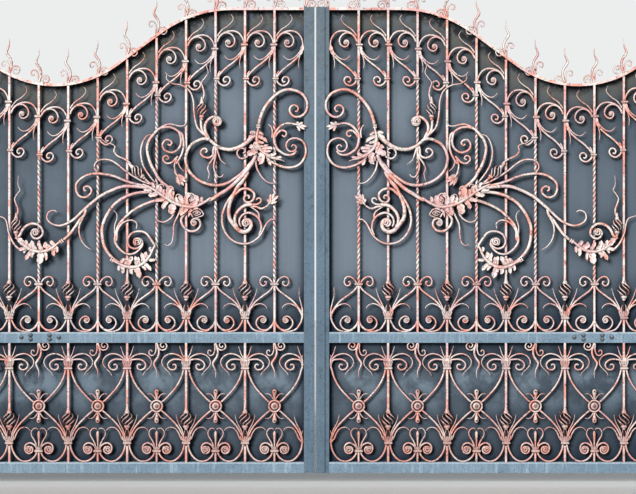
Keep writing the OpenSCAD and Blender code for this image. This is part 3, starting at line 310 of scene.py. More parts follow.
class Anvil:
    """Forges bars, turned parts and leaflets into one mesh, in millimetres on the right leaf."""

    def __init__(self) -> None:
        """Starts with an empty mesh."""
        self.mesh = bmesh.new()
        self.mesh.verts.layers.float.new(HOLLOW)

    @staticmethod
    def _at(u: float, depth: float, z: float, turn: float = 0, axis: str = "X") -> Matrix:
        """The transform to a distance from the middle, a leaf depth and a height, turned about an axis."""
        place = Matrix.Translation((GATE_X + u, FRONT_Y + depth, z))
        return place @ Matrix.Rotation(turn, 4, axis)

    def _merge(self, part: bmesh.types.BMesh, hollow: float | None = None) -> None:
        """Adds a closed part to the piece with its faces turned outwards.

        Args:
            part: The part, which is freed.
            hollow: How dark and bare all of it is, or None where its points say it.
        """
        if hollow is not None:
            layer = part.verts.layers.float.new(HOLLOW)
            for vert in part.verts:
                vert[layer] = hollow
        bmesh.ops.recalc_face_normals(part, faces=part.faces)
        data = bpy.data.meshes.new("part")
        part.to_mesh(data)
        part.free()
        self.mesh.from_mesh(data)
        bpy.data.meshes.remove(data)

    @staticmethod
    def _curve(runs: list[list[Stop]], closed: bool = False) -> bpy.types.Object:
        """Draws lines as a curve object.

        Args:
            runs: Stops of each line.
            closed: Whether they are closed outlines in one plane.

        Returns:
            The object.
        """
        curve = bpy.data.curves.new("run", "CURVE")
        if not closed:
            curve.dimensions = "3D"
        for run in runs:
            line = curve.splines.new("POLY")
            line.points.add(len(run) - 1)
            line.use_cyclic_u = closed
            for point, (x, y, z, width, tilt) in zip(line.points, run):
                point.co, point.radius, point.tilt = (x, y, z, 1), width, tilt
        return add("run", curve)

    def _sweep(
        self,
        runs: list[list[Stop]],
        profile: Profile,
        depth: float,
        hollow: Callable[[float], float] = lambda front: 0,
        twist: str = "Z_UP",
    ) -> None:
        """Runs a profile along lines and adds the bars to the piece.

        Args:
            runs: Stops of each line.
            profile: The cross-section.
            depth: Leaf depth of the lines' plane.
            hollow: How dark and bare a point is, by its stand-off to the front.
            twist: How the profile keeps its heading.
        """
        ring = self._curve([[(x, y, 0, 1, 0) for x, y in profile.value]], True)
        bars = self._curve(runs)
        bars.data.twist_mode = twist
        bars.data.bevel_mode = "OBJECT"
        bars.data.bevel_object = ring
        bars.data.use_fill_caps = True
        bpy.context.view_layer.update()
        graph = bpy.context.evaluated_depsgraph_get()
        data = bpy.data.meshes.new_from_object(bars.evaluated_get(graph))
        for item in (bars, ring):
            bpy.data.curves.remove(item.data)
        layer = data.attributes.new(HOLLOW, "FLOAT", "POINT")
        for vert, value in zip(data.vertices, layer.data):
            value.value = hollow(vert.co.z)
        data.transform(self._at(0, depth, 0, math.pi / 2))
        self.mesh.from_mesh(data)
        bpy.data.meshes.remove(data)

    def strands(
        self,
        runs: list[Strand],
        depth: float,
        profile: Profile = Profile.FLAT,
        hammered: float = 0.14,
        hollow: float = 0,
    ) -> None:
        """Forges flat bars along strands, with the facets that a hammer leaves.

        Args:
            runs: The strands, in leaf millimetres.
            depth: Leaf depth of their middle.
            profile: Cross-section.
            hammered: How far the facets lean to either side, in radians.
            hollow: How dark and bare the bars are, or below 0 how bright they are rubbed.
        """
        lines = []
        for run in runs:
            points = smooth(run.points, run.steps)
            last = len(points) - 1
            line = []
            for k, (x, y) in enumerate(points):
                t = k / last
                from_end = min(k, last - k)
                drawn = (0.6, 0.92)[from_end] if hammered and from_end < 2 else 1
                width = drawn * run.width(t) * (1 + 0.3 * hammered * math.sin(2.9 * k))
                line.append((x, y, run.height(t), max(width, 0.6), hammered * math.sin(2.1 * k)))
            lines.append(line)
        self._sweep(lines, profile, depth, lambda front: hollow)

    def rod(self, u: float, z0: float, z1: float, width: float, depth: float, pitch: float = 0) -> None:
        """Forges a square upright, straight or twisted.

        Args:
            u: Distance from the gate's middle.
            z0: Lower end.
            z1: Upper end.
            width: Side of the bar.
            depth: Leaf depth of its middle.
            pitch: Height of a quarter-turn of the twist, or 0.
        """
        stops = [(z0, 0.0)]
        if pitch:
            rings = round((z1 - z0) / pitch) * 4
            stops += [(lerp(z0, z1, k / rings), k * math.pi / 8) for k in range(rings + 1)]
        stops.append((z1, stops[-1][1]))
        line = [(u, z, 0, width, tilt) for z, tilt in stops]
        self._sweep([line], Profile.TWIST if pitch else Profile.SQUARE, depth)

    def basket(
        self, u: float, z: float, depth: float, radius: float = 32, half: float = 28, tilt: float = 0
    ) -> None:
        """Forges a basket of six twisted wires between its beads and its cone.

        Args:
            u: Distance from the gate's middle.
            z: Height of its middle.
            depth: Leaf depth of its axis.
            radius: Greatest radius to the wires' outside.
            half: Half its height.
            tilt: Lean of its axis on the leaf's face, in degrees.
        """
        lean = math.radians(tilt)
        count, pieces, wire_width = 6, 14, 5.8
        wires = []
        for k in range(count):
            wire = []
            for j in range(pieces + 1):
                t = j / pieces
                swell = (radius - 3) * math.sin(math.pi * (0.07 + 0.86 * t)) ** 0.55
                angle = math.tau * k / count + lerp(-1.2, 1.2, t)
                across, up = swell * math.cos(angle), lerp(-half, half, t)
                x = u + across * math.cos(lean) + up * math.sin(lean)
                y = z - across * math.sin(lean) + up * math.cos(lean)
                wire.append((x, y, swell * math.sin(angle), wire_width, 0))
            wires.append(wire)
        # The wires are painted darker towards the back: painted shade inside the basket
        reach = max(abs(stop[2]) for wire in wires for stop in wire)
        self._sweep(
            wires, Profile.ROUND, depth, lambda front: min(max(0.9 - 1.5 * front / reach, 0), 1), "MINIMUM"
        )
        # The outlines are drawn for a radius of 32
        size = radius / 32
        beads = [
            (4.5, -half - 26), (8, -half - 24), (10.5, -half - 18), (9.5, -half - 15),
            (15.5, -half - 13), (17, -half - 7), (16.5, -half - 2), (7, -half + 2),
        ]
        cone = [
            (6, half - 3), (13.5, half - 1), (14.5, half + 3), (13, half + 8), (9.5, half + 14),
            (7, half + 24), (5.5, half + 31),
        ]
        for outline in (beads, cone):
            self.turned(u, z, [(r * size, h) for r, h in outline], depth, 12, tilt, 0.2)

    def _spin(self, outline: list[Point], place: Matrix, parts: int, hollow: float) -> None:
        """Spins an outline about its axis.

        Args:
            outline: Radius and height of each point.
            place: Transform that puts the axis in place.
            parts: Sides of the round.
            hollow: How dark and bare the part is.
        """
        part = bmesh.new()
        verts = [part.verts.new((r, 0, h)) for r, h in outline]
        edges = [part.edges.new(pair) for pair in zip(verts, verts[1:])]
        up, middle = (0, 0, 1), (0, 0, 0)
        bmesh.ops.spin(
            part, geom=verts + edges, axis=up, cent=middle, angle=math.tau, steps=parts, use_merge=True
        )
        bmesh.ops.remove_doubles(part, verts=part.verts, dist=0.01)
        bmesh.ops.contextual_create(part, geom=[e for e in part.edges if e.is_boundary])
        bmesh.ops.transform(part, matrix=place, verts=part.verts)
        self._merge(part, hollow)

    def turned(
        self,
        u: float,
        z: float,
        outline: list[Point],
        depth: float,
        parts: int,
        tilt: float = 0,
        hollow: float = 0,
    ) -> None:
        """Spins radii and heights, from bottom to top, about an upright axis with a tilt in degrees."""
        self._spin(outline, self._at(u, depth, z, math.radians(tilt), "Y"), parts, hollow)

    def boss(
        self, u: float, z: float, outline: list[Point], depth: float, parts: int, hollow: float = 0
    ) -> None:
        """Spins radii and stand-offs, from front to back, about an axis that faces the viewer."""
        self._spin(outline, self._at(u, depth, z, math.pi / 2), parts, hollow)

    def block(self, low: Vector, high: Vector, edge: float, hollow: float) -> None:
        """A bevelled block between two corners.

        Args:
            low: Lowest corner, as distance, leaf depth and height.
            high: Highest corner.
            edge: Width of the bevel.
            hollow: How dark and bare it is.
        """
        part = bmesh.new()
        bmesh.ops.create_cube(part, size=1)
        place = self._at(*(high + low) / 2) @ Matrix.Diagonal((*(high - low), 1))
        bmesh.ops.transform(part, matrix=place, verts=part.verts)
        bmesh.ops.bevel(
            part, geom=part.edges, offset=edge, segments=1, profile=0.5, affect="EDGES", material=-1
        )
        self._merge(part, hollow)

    def leaflet(self, spine: list[Point], width: float, depth: float, rise: float, curl: float) -> None:
        """A forged leaflet with a hollow middle, raised ribs and a blunt tip that curls to the front.

        Args:
            spine: Points from its foot to its tip, on the leaf's face.
            width: Greatest width.
            depth: Leaf depth of its foot.
            rise: How far its belly stands to the front.
            curl: How far its tip stands to the front.
        """
        part = bmesh.new()
        hollow = part.verts.layers.float.new(HOLLOW)
        bmesh.ops.create_grid(part, x_segments=8, y_segments=11, size=0.5)
        line = smooth(spine, 8)
        last = len(line) - 1
        belly, thick = 0.42, 2.2
        for vert in part.verts:
            s, t = vert.co.x * 2, vert.co.y + 0.5
            k = min(int(t * last), last - 1)
            (x0, z0), (x1, z1) = line[k : k + 2]
            dx, dz = x1 - x0, z1 - z0
            length = math.hypot(dx, dz) or 1
            share = t * last - k
            swell = lerp(0.85, 1, t / belly)
            if t >= belly:
                swell = 1 - 0.94 * ((t - belly) / (1 - belly)) ** 2.5
            notch = 0.3 * max(math.sin(t * 15), 0) * abs(s) ** 2
            half = width / 2 * (swell - notch) * s / length
            bow = rise * math.sin(math.pi * (0.15 + 0.8 * t)) + curl * t * t
            rim = 0.24 * width * (abs(s) ** 1.5) * math.sin(math.pi * (0.1 + 0.85 * t))
            fall = 0.1 * width * abs(s) ** 6
            ribs = 0.5 * math.cos(s * 9.5) * (1 - t)
            front = bow + rim - fall + ribs
            vert.co = (lerp(x0, x1, share) - dz * half, -front, lerp(z0, z1, share) + dx * half)
            vert[hollow] = 0.4 * max(0.0, 1 - 4 * abs(s)) - 0.25 * t - 0.1
            # Near the foot the side edges are painted dark: painted shade in the slots between leaflets
            if abs(s) > 0.9 and t < 0.8:
                vert[hollow] = 0.95
        bmesh.ops.transform(part, matrix=self._at(0, depth, 0), verts=part.verts)
        backs = bmesh.ops.extrude_face_region(part, geom=part.faces, use_keep_orig=True)["geom"]
        backs = [item for item in backs if isinstance(item, bmesh.types.BMVert)]
        bmesh.ops.translate(part, vec=(0, thick, 0), verts=backs)
        self._merge(part)

    def eye(self, u: float, z: float, radius: float, depth: float) -> None:
        """A snail-like boss in the middle of a volute, facing the viewer.

        Args:
            u: Distance from the gate's middle.
            z: Height.
            radius: Its radius.
            depth: Leaf depth of its back.
        """
        turns, pieces = [], 20
        for k in range(pieces + 1):
            reach = radius * (1 - 0.8 * k / pieces)
            turns.append((u + reach * math.cos(0.55 * k), z + reach * math.sin(0.55 * k)))
        snail = Strand(turns, radius * 0.5, radius * 0.42, steps=1, tip_lift=3)
        self.strands([snail], depth - 3)
        ground = [(0.5, 1), (radius * 0.9, 0), (radius * 0.9, -3), (0.5, -3)]
        self.boss(u, z, ground, depth - 2, 16, 0.7)

    def finish(self, name: str, side: Side, material: bpy.types.Material) -> bpy.types.Object:
        """Makes the piece for one leaf.

        Args:
            name: Name of the piece.
            side: The leaf it belongs to.
            material: Its finish.

        Returns:
            The piece, in metres.
        """
        data = bpy.data.meshes.new(name)
        copy = self.mesh.copy()
        bmesh.ops.transform(copy, matrix=Matrix.Diagonal((MM, MM, MM, 1)), verts=copy.verts)
        if side is Side.LEFT:
            flip = Matrix.Translation((2 * GATE_X * MM, 0, 0)) @ Matrix.Diagonal((-1, 1, 1, 1))
            bmesh.ops.transform(copy, matrix=flip, verts=copy.verts)
            bmesh.ops.reverse_faces(copy, faces=copy.faces)
        for face in copy.faces:
            face.smooth = True
        copy.to_mesh(data)
        copy.free()
        data.set_sharp_from_angle(angle=CREASE)
        data.materials.append(material)
        LOG.info("%s: %d triangles", name, sum(len(face.vertices) - 2 for face in data.polygons))
        return add(name, data)


# ---------------------------------------------------------------- drawings of the forged work

# Points of the rows are in millimetres beside the upright and over the height that each comment names.
# One bay of the row under the top rail, from its upper collar
FERN = [
    Strand([(7, -8), (6, 12), (13, 34), (30, 56), (54, 66), (82, 64), (107, 52), (124, 34), (132, 14)], 8, 11),
    Strand([(118, 46), (102, 54), (82, 57), (61, 46), (49, 24), (53, 3), (69, -9), (85, -6), (92, 9), (86, 21),
        (75, 20), (70, 11)], 9, 8),
    Strand([(130, 40), (126, 50), (107, 73), (84, 88), (64, 107), (56, 126),
        (66, 144)], 9, 2, lift=1, tip_lift=6),
    Strand([(8, -8), (14, -32), (22, -62), (26, -88), (23, -112)], 9, 2, lift=2, tip_lift=5),
    Strand([(8, -4), (12, -18), (26, -42), (48, -63), (72, -71), (90, -62),
        (99, -50)], 10, 3, lift=1, tip_lift=5),
    Strand([(4, 8), (7, -19), (25, -53), (54, -82), (87, -107), (111, -130), (126, -149), (131, -163)], 9, 11),
    Strand([(131, -158), (128, -172), (120, -184), (102, -194), (82, -188), (71, -170), (78, -154), (94, -153),
        (103, -166), (97, -177), (88, -173)], 10, 8),
    Strand([(134, -176), (132, -158), (128, -140), (118, -124)], 5, 8, lift=1),
]
FERN_LEAF = [(5, -3), (11, -26), (24, -54)]
# An eye is given by its place beside the row's upright and its radius
FERN_EYE = (78, 10, 10)
# Half of the row over the middle rail, from the collar of a twisted bar to a basket bar: the flames, the
# one flame beside a stile, and the scrolls
CROWN_FLAMES = [
    Strand([(130, -146), (122, -120), (114, -101), (103, -79), (93, -57), (86, -36),
        (82, -19)], 9, 2, lift=2, tip_lift=5),
    Strand([(135, -150), (131, -132), (129, -116), (133, -98)], 9, 2, lift=3, tip_lift=7),
]
CROWN_END = [Strand([(132, -168), (133, -128), (126, -92), (117, -54), (118, -14)], 10, 2, lift=2, tip_lift=5)]
CROWN = [
    Strand([(5, -8), (8, 2), (14, 12), (24, 25), (42, 35), (59, 32), (68, 17), (67, 3), (57, -8), (46, -6),
        (39, 3), (42, 12), (49, 9)], 8, 8),
    Strand([(5, 6), (8, -12), (24, -33), (56, -57), (85, -79), (103, -99), (118, -120), (128, -136),
        (131, -162)], 9, 10),
    Strand([(131, -148), (122, -131), (110, -113), (92, -100), (70, -93), (53, -97), (41, -106),
        (36, -116)], 10, 3, lift=1, tip_lift=5),
    Strand([(132, -150), (128, -174), (121, -189), (107, -210), (88, -222), (63, -226), (38, -221), (19, -204),
        (7, -188), (3, -174)], 9, 9),
    Strand([(5, -178), (10, -196), (24, -211), (48, -219), (70, -213), (85, -195), (86, -177), (77, -162),
        (61, -153), (47, -157), (41, -170), (48, -182), (59, -181), (64, -172), (57, -167)], 8, 8),
]
CROWN_EYE = (54, -170, 9.5)
# Half of one cell of the lower panel, from its middle and the bottom rail
CELL = [
    Strand([(7, 64), (11, 44), (21, 26), (39, 11), (61, 4), (86, 9), (110, 30), (125, 58), (131, 84),
        (133, 98)], 9, 10),
    Strand([(6, 50), (9, 66), (15, 76), (26, 86), (43, 92), (60, 85), (67, 68), (61, 49), (46, 42), (33, 48),
        (29, 62), (37, 73), (49, 71), (52, 61)], 9, 10),
    Strand([(5, 54), (9, 70), (13, 86), (21, 104), (34, 126), (36, 144), (27, 158), (14, 162), (4, 156)], 9, 4),
    Strand([(22, 246), (38, 233), (57, 216), (86, 187), (108, 158), (123, 128), (131, 104), (132, 90)], 9, 10),
    Strand([(132, 92), (124, 104), (115, 114), (103, 142), (87, 161), (66, 167), (50, 161),
        (40, 150)], 10, 3, lift=1, tip_lift=5),
    Strand([(132, 98), (127, 130), (120, 155), (106, 181), (96, 208), (93, 228)], 9, 2, lift=2, tip_lift=5),
    Strand([(135, 96), (131, 116), (129, 134), (134, 152)], 9, 2, lift=3, tip_lift=7),
    Strand([(133, 456), (127, 438), (120, 412), (106, 380), (85, 348), (59, 319), (38, 297), (24, 286)], 10, 9),
    Strand([(133, 446), (131, 466), (127, 488), (104, 508), (70, 516), (41, 505), (25, 483), (28, 460),
        (45, 440), (59, 426), (66, 412)], 10, 3),
    Strand([(132, 452), (130, 470), (121, 485), (103, 489), (81, 489), (62, 480), (52, 464), (59, 446),
        (76, 439), (90, 446), (92, 459), (83, 466), (75, 461)], 9, 8),
    Strand([(134, 462), (132, 492), (121, 515), (114, 537), (109, 552)], 9, 2, lift=2, tip_lift=5),
    Strand([(136, 460), (132, 478), (130, 494), (134, 510)], 9, 2, lift=3, tip_lift=7),
]
CELL_EYE = (48, 62, 15)
CELL_STALK = Strand([(0, 0), (0, 30), (0, 62)], 13, 10)
# The bud in the middle of a cell, as radius and height
CELL_BUD = [(3, 50), (4, 96), (6, 116), (8, 134), (7, 142), (3, 149), (0.5, 151)]
# A wavy flame with a large curl on its left and a small one on its right, standing on its foot
FLAME = [
    Strand(
        [(0, -4), (-4, 14), (-11, 42), (-6, 66), (5, 83), (13, 98), (8, 115), (1, 131), (-1, 150), (1, 168)],
        9, 1.5, middle=12, lift=1, tip_lift=4,
    ),
    Strand([(-2, 0), (-7, 16), (-16, 31), (-30, 35), (-44, 28), (-48, 15), (-41, 2), (-28, -1), (-18, 8),
        (-22, 20), (-32, 21), (-34, 13)], 8, 6),
    Strand([(3, 0), (4, 14), (3, 32), (10, 54), (24, 61), (36, 52), (34, 37), (24, 36), (22, 44)], 8, 5),
]
# The rosette's ground, ring and dome: radius and stand-off, sides, and how dark it is; the ground's darkness is
# painted shade in the gap between ring and dome
ROSETTE_DOMES = [
    ([(0.5, -1), (24, -1), (24, -4), (0.5, -4)], 20, 0.95),
    ([(8, 6.5), (13.5, 4.5), (16.5, 2.5), (18.5, -1), (18, -2), (8, -2)], 20, 0),
    ([(0.5, 9.5), (4.5, 9), (9.5, 6.5), (9.5, 2), (0.5, 2)], 16, 0.65),
]
ROSETTE_BUD = [(2.5, 30), (5, 40), (8.5, 52), (12, 63), (12.5, 70), (10.5, 77), (6, 81), (0.5, 82)]
ROSETTE_BERRY = [(0.5, 13.2), (4.5, 12.6), (5.5, 8), (0.5, 8)]
ROSETTE_PETAL = [(4, 31), (11, 42), (21, 54), (33, 59), (45, 57)]

# The ornament's strands: width at the start, the middle and the end, stand-off, and points on the grid
ORNAMENT_LINES: list[tuple[float, float | None, float, float, list[Point]]] = [
    (14, None, 7, 0, [(565, 860), (545, 770), (515, 690), (470, 620), (410, 555), (340, 505), (270, 487),
        (190, 500), (125, 540), (90, 600), (85, 660), (105, 715), (150, 750), (200, 755), (240, 730),
        (257, 690), (245, 655), (215, 640), (185, 650), (172, 675), (185, 700), (205, 700)]),
    (11, None, 6, 0, [(490, 1135), (455, 1180), (419, 1204), (360, 1232), (281, 1251), (203, 1241),
        (150, 1210), (116, 1163), (100, 1116), (99, 1070), (113, 1016), (150, 979), (207, 963), (260, 979),
        (288, 1016), (288, 1057), (263, 1088), (228, 1094), (200, 1076), (192, 1051), (207, 1032), (225, 1030),
        (241, 1048)]),
    (7, 12, 8, 2, [(165, 848), (200, 830), (240, 820), (290, 820), (340, 842), (385, 890), (408, 940),
        (406, 991), (397, 1032), (378, 1069), (344, 1098), (297, 1124), (241, 1127), (206, 1110), (192, 1085)]),
    (10, None, 7, 1, [(408, 960), (391, 938), (375, 916), (350, 894), (322, 888), (297, 898), (288, 916),
        (294, 938), (313, 948), (331, 932)]),
    (9, None, 3, 2, [(430, 960), (425, 900), (440, 850), (465, 830)]),
    (8, None, 6, 0, [(650, 1120), (690, 1155), (740, 1160), (772, 1115), (750, 1068), (705, 1065), (690, 1095),
        (715, 1110)]),
    (20, 13, 9, 0, [(615, 945), (645, 975), (690, 1015), (760, 1055), (850, 1075), (940, 1055), (1000, 1015),
        (1060, 960), (1108, 900), (1122, 850), (1126, 790), (1128, 750)]),
    (9, None, 2, 0, [(1113, 605), (1103, 570), (1095, 530), (1105, 470), (1120, 420), (1085, 370), (1055, 320),
        (1070, 260), (1060, 220)]),
    (12, None, 9, 2, [(1040, 980), (1080, 900), (1085, 840), (1060, 790), (1010, 755), (960, 760), (930, 790),
        (940, 825), (970, 835), (1000, 815), (990, 780)]),
    (9, None, 3, 0, [(1098, 930), (1135, 890), (1165, 850), (1185, 770), (1195, 680), (1200, 600), (1225, 520),
        (1270, 470), (1330, 440), (1400, 430), (1450, 400), (1465, 370), (1455, 335)]),
    (12, None, 12, 1, [(1035, 980), (1070, 972), (1105, 970), (1150, 985), (1210, 1020), (1255, 1080),
        (1275, 1150), (1275, 1180), (1260, 1250), (1215, 1320), (1140, 1380), (1050, 1415), (960, 1425),
        (870, 1405), (790, 1355), (720, 1300), (650, 1220), (600, 1160)]),
    (10, None, 3, -2, [(985, 1025), (970, 1070), (950, 1130), (930, 1180), (880, 1220)]),
    (10, None, 4, -2, [(985, 1025), (982, 1090), (985, 1150), (1000, 1230), (990, 1290), (960, 1340),
        (925, 1340), (905, 1315)]),
    (10, None, 3, -2, [(990, 1120), (1005, 1160), (1040, 1210), (1060, 1260), (1045, 1310), (1060, 1380)]),
    (10, None, 7, -1, [(995, 1040), (1005, 1080), (1010, 1130), (1050, 1155), (1100, 1145), (1130, 1110),
        (1115, 1075), (1080, 1065), (1065, 1090), (1085, 1105)]),
    (9, None, 3, -1, [(590, 1160), (580, 1250), (540, 1330), (480, 1390), (430, 1405), (385, 1400)]),
    (16, None, 14, 3, [(590, 1120), (600, 1160), (640, 1230), (700, 1310), (780, 1390), (860, 1460),
        (940, 1510), (1000, 1550), (1050, 1575)]),
    (12, None, 6, 0, [(620, 1190), (660, 1250), (707, 1372), (745, 1421), (790, 1481), (831, 1537),
        (865, 1586), (891, 1635), (915, 1710), (918, 1790), (895, 1870), (850, 1935), (790, 1980), (720, 1997),
        (660, 1993), (600, 1965), (545, 1915), (510, 1850), (480, 1795), (437, 1758), (404, 1766)]),
    (12, 18, 8, 1, [(660, 1290), (700, 1360), (770, 1440), (812, 1530), (835, 1582), (850, 1635), (854, 1691),
        (846, 1747), (820, 1788), (770, 1850), (735, 1875), (690, 1880), (650, 1855), (633, 1815), (640, 1780),
        (668, 1760), (700, 1765), (715, 1790), (705, 1815), (680, 1822), (665, 1805)]),
    (11, None, 8, 0, [(812, 1530), (771, 1496), (737, 1466), (689, 1456), (640, 1470), (606, 1503),
        (604, 1541), (625, 1578), (662, 1593), (692, 1582), (704, 1552), (689, 1526), (662, 1526), (651, 1541),
        (662, 1556)]),
    (14, None, 11, 3, [(620, 1612), (650, 1616), (689, 1620), (737, 1650), (775, 1695), (794, 1747),
        (786, 1803), (764, 1830)]),
    (9, 9, 6, 1, [(632, 1631), (584, 1635), (539, 1653), (501, 1642), (464, 1616)]),
    (9, None, 6, 1, [(632, 1612), (584, 1612), (550, 1597), (535, 1575), (546, 1552), (569, 1552),
        (584, 1571)]),
    (9, None, 4, 0, [(556, 1756), (556, 1721), (569, 1687), (606, 1657), (650, 1630)]),
    (7, 10, 8, -1, [(560, 1915), (539, 1865), (535, 1830), (546, 1777), (576, 1732), (625, 1702), (670, 1694),
        (715, 1713), (745, 1751), (749, 1796), (734, 1830)]),
    (11, None, 8, 0, [(1240, 1660), (1270, 1690), (1296, 1721), (1319, 1759), (1311, 1804), (1278, 1849),
        (1229, 1875), (1173, 1867), (1139, 1834), (1131, 1796), (1146, 1762), (1184, 1751), (1214, 1770),
        (1218, 1800), (1195, 1819), (1173, 1800), (1184, 1777)]),
    (10, None, 3, -1, [(1305, 1600), (1325, 1660), (1350, 1720), (1390, 1810), (1395, 1900), (1410, 1980),
        (1450, 2015), (1485, 2000)]),
    (9, None, 4, 0, [(1380, 1660), (1398, 1717), (1435, 1759), (1491, 1785), (1540, 1774), (1563, 1744)]),
    (10, None, 9, 0, [(1560, 890), (1544, 876), (1494, 858), (1434, 855), (1381, 873), (1337, 905),
        (1312, 921), (1300, 960), (1295, 1040), (1310, 1110), (1345, 1180), (1370, 1215)]),
    (10, None, 8, 1, [(1344, 900), (1330, 930), (1320, 1000), (1340, 1060), (1390, 1100), (1440, 1100),
        (1490, 1070), (1500, 1020), (1470, 980), (1430, 985), (1410, 1010), (1430, 1035), (1450, 1020)]),
    (3, None, 9, 0, [(1266, 788), (1269, 813), (1294, 841), (1341, 844), (1388, 832), (1441, 826), (1494, 845),
        (1544, 876)]),
    (12, None, 12, 1, [(1544, 876), (1598, 936), (1638, 996), (1653, 1066), (1638, 1156), (1608, 1236),
        (1568, 1306), (1548, 1346), (1500, 1400), (1440, 1450), (1400, 1530)]),
    (9, None, 6, 1, [(1350, 1140), (1370, 1160), (1410, 1200), (1460, 1210), (1495, 1180), (1490, 1145),
        (1460, 1135), (1440, 1160), (1465, 1175)]),
    (8, None, 6, 0, [(1360, 1170), (1370, 1180), (1385, 1230), (1375, 1290), (1350, 1330)]),
    (8, None, 3, 0, [(1350, 1180), (1335, 1240), (1290, 1290)]),
    (4, 8, 6, -1, [(1598, 930), (1648, 936), (1688, 986), (1713, 1066), (1713, 1136), (1693, 1226),
        (1648, 1306), (1578, 1396)]),
    (9, None, 2, 0, [(1806, 1226), (1840, 1190), (1878, 1166), (1943, 1136), (1978, 1091), (1968, 1046),
        (1998, 1021), (2048, 1011), (2088, 981), (2108, 961)]),
    (9, None, 9, 1, [(1600, 1425), (1655, 1380), (1704, 1332)]),
    (8, None, 6, 0, [(1600, 1420), (1698, 1386), (1848, 1296), (1948, 1216), (2008, 1181), (2068, 1171),
        (2128, 1181), (2163, 1216), (2168, 1256), (2138, 1306)]),
    (11, None, 8, 1, [(1580, 1450), (1698, 1428), (1848, 1388), (1968, 1338), (2088, 1313), (2188, 1313),
        (2268, 1338), (2338, 1398), (2348, 1468), (2318, 1528), (2258, 1543), (2208, 1508), (2198, 1468),
        (2228, 1436), (2268, 1443), (2268, 1473), (2248, 1478)]),
    (14, 13, 12, 2, [(1600, 1450), (1698, 1443), (1810, 1434), (1898, 1438), (1988, 1470), (2108, 1530),
        (2208, 1610), (2288, 1680)]),
    (12, None, 4, 2, [(2268, 1665), (2288, 1680), (2348, 1740), (2418, 1790), (2508, 1820), (2588, 1800),
        (2633, 1750), (2618, 1690), (2568, 1670), (2538, 1685)]),
    (11, None, 12, 2, [(2250, 1660), (2268, 1720), (2308, 1760), (2348, 1820), (2398, 1890), (2448, 1940),
        (2488, 1965)]),
    (10, None, 3, 1, [(2260, 1690), (2278, 1740), (2313, 1810), (2318, 1890), (2293, 1970), (2248, 2025),
        (2198, 2055)]),
    (12, 13, 12, 2, [(1600, 1490), (1648, 1490), (1748, 1500), (1848, 1530), (1948, 1590), (2018, 1670),
        (2068, 1760), (2093, 1850), (2088, 1950), (2063, 2040), (2008, 2120), (1948, 2170), (1878, 2205),
        (1828, 2215)]),
    (12, None, 8, 1, [(1500, 1545), (1548, 1570), (1608, 1585), (1698, 1620), (1788, 1670), (1868, 1740),
        (1928, 1810), (1958, 1890), (1968, 1970), (1938, 2030), (1878, 2085), (1818, 2100), (1758, 2080),
        (1708, 2030), (1693, 1990)]),
    (10, None, 7, 1, [(1573, 2040), (1578, 2015), (1618, 1950), (1668, 1890), (1738, 1875), (1808, 1900),
        (1843, 1960), (1828, 2020), (1778, 2045), (1728, 2030), (1698, 1990), (1713, 1955), (1748, 1945),
        (1783, 1970), (1773, 2005), (1743, 2005)]),
    (10, None, 5, 2, [(1958, 1970), (1948, 1940), (1943, 1870), (1898, 1800), (1838, 1770), (1788, 1770),
        (1753, 1800), (1758, 1850)]),
    (7, None, 2, 0, [(1962, 1910), (1972, 1880), (1968, 1810), (1948, 1750), (1953, 1700), (1983, 1670)]),
    (12, None, 7, 1, [(2943, 1945), (2900, 1915), (2878, 1870), (2838, 1825), (2778, 1800), (2718, 1815),
        (2678, 1860), (2678, 1910), (2718, 1945), (2763, 1940), (2788, 1900), (2773, 1865), (2738, 1855),
        (2713, 1875), (2723, 1900), (2743, 1900)]),
    (9, None, 2, 0, [(2931, 1745), (2923, 1710), (2918, 1660), (2943, 1590), (2948, 1550), (2918, 1500),
        (2898, 1470), (2918, 1415), (2913, 1326)]),
    (10, None, 3, 0, [(2880, 2040), (2913, 2045), (2968, 1980), (3008, 1890), (3023, 1810), (3048, 1750),
        (3116, 1725), (3190, 1700)]),
]
# Eyes of the volutes on the grid, with their radius in millimetres
EYES = [(970, 800, 19), (674, 1788, 17), (1190, 1795, 12), (1746, 1979, 19.5), (2747, 1886, 18)]
# Rolled ends on the leaf: middle, radius, first angle and sweep
ROLLS = [
    (596, 1364, 18, 4.6, -4.6), (596, 1362, 9, 4.2, -4.4), (695, 1400, 16, 3.4, -3.8),
    (655, 1366, 12, 3.2, -3.4), (736, 1414, 12, 3.2, -3.6),
]
# Baskets on the grid, with the lean of their axis in degrees
ORNAMENT_BASKETS = [(1117, 680, 0), (1750, 1290, 47), (2933, 1815, 0)]
# The rose's middle on the grid and its radius in millimetres
ROSE = (1165, 1700, 33)
# The rose's small leaves: width, leaf depth, curl of the tip, and spine from the rose's middle
ROSE_LEAVES = [
    (12, -14, 2, [(18, 16), (4, 24), (-10, 22)]),
    (13, -10, 3, [(20, 18), (32, 10), (40, -20)]),
    (13, -10, 3, [(20, 18), (32, 10), (38, 4)]),
]


@dataclass(frozen=True)
class Foliage:
    """An acanthus leaf with its rib and leaflets, each of which has a width and a spine."""

    grid: Grid
    rib_width: Triple
    rib: list[Point]
    leaflets: list[tuple[float, list[Point]]]


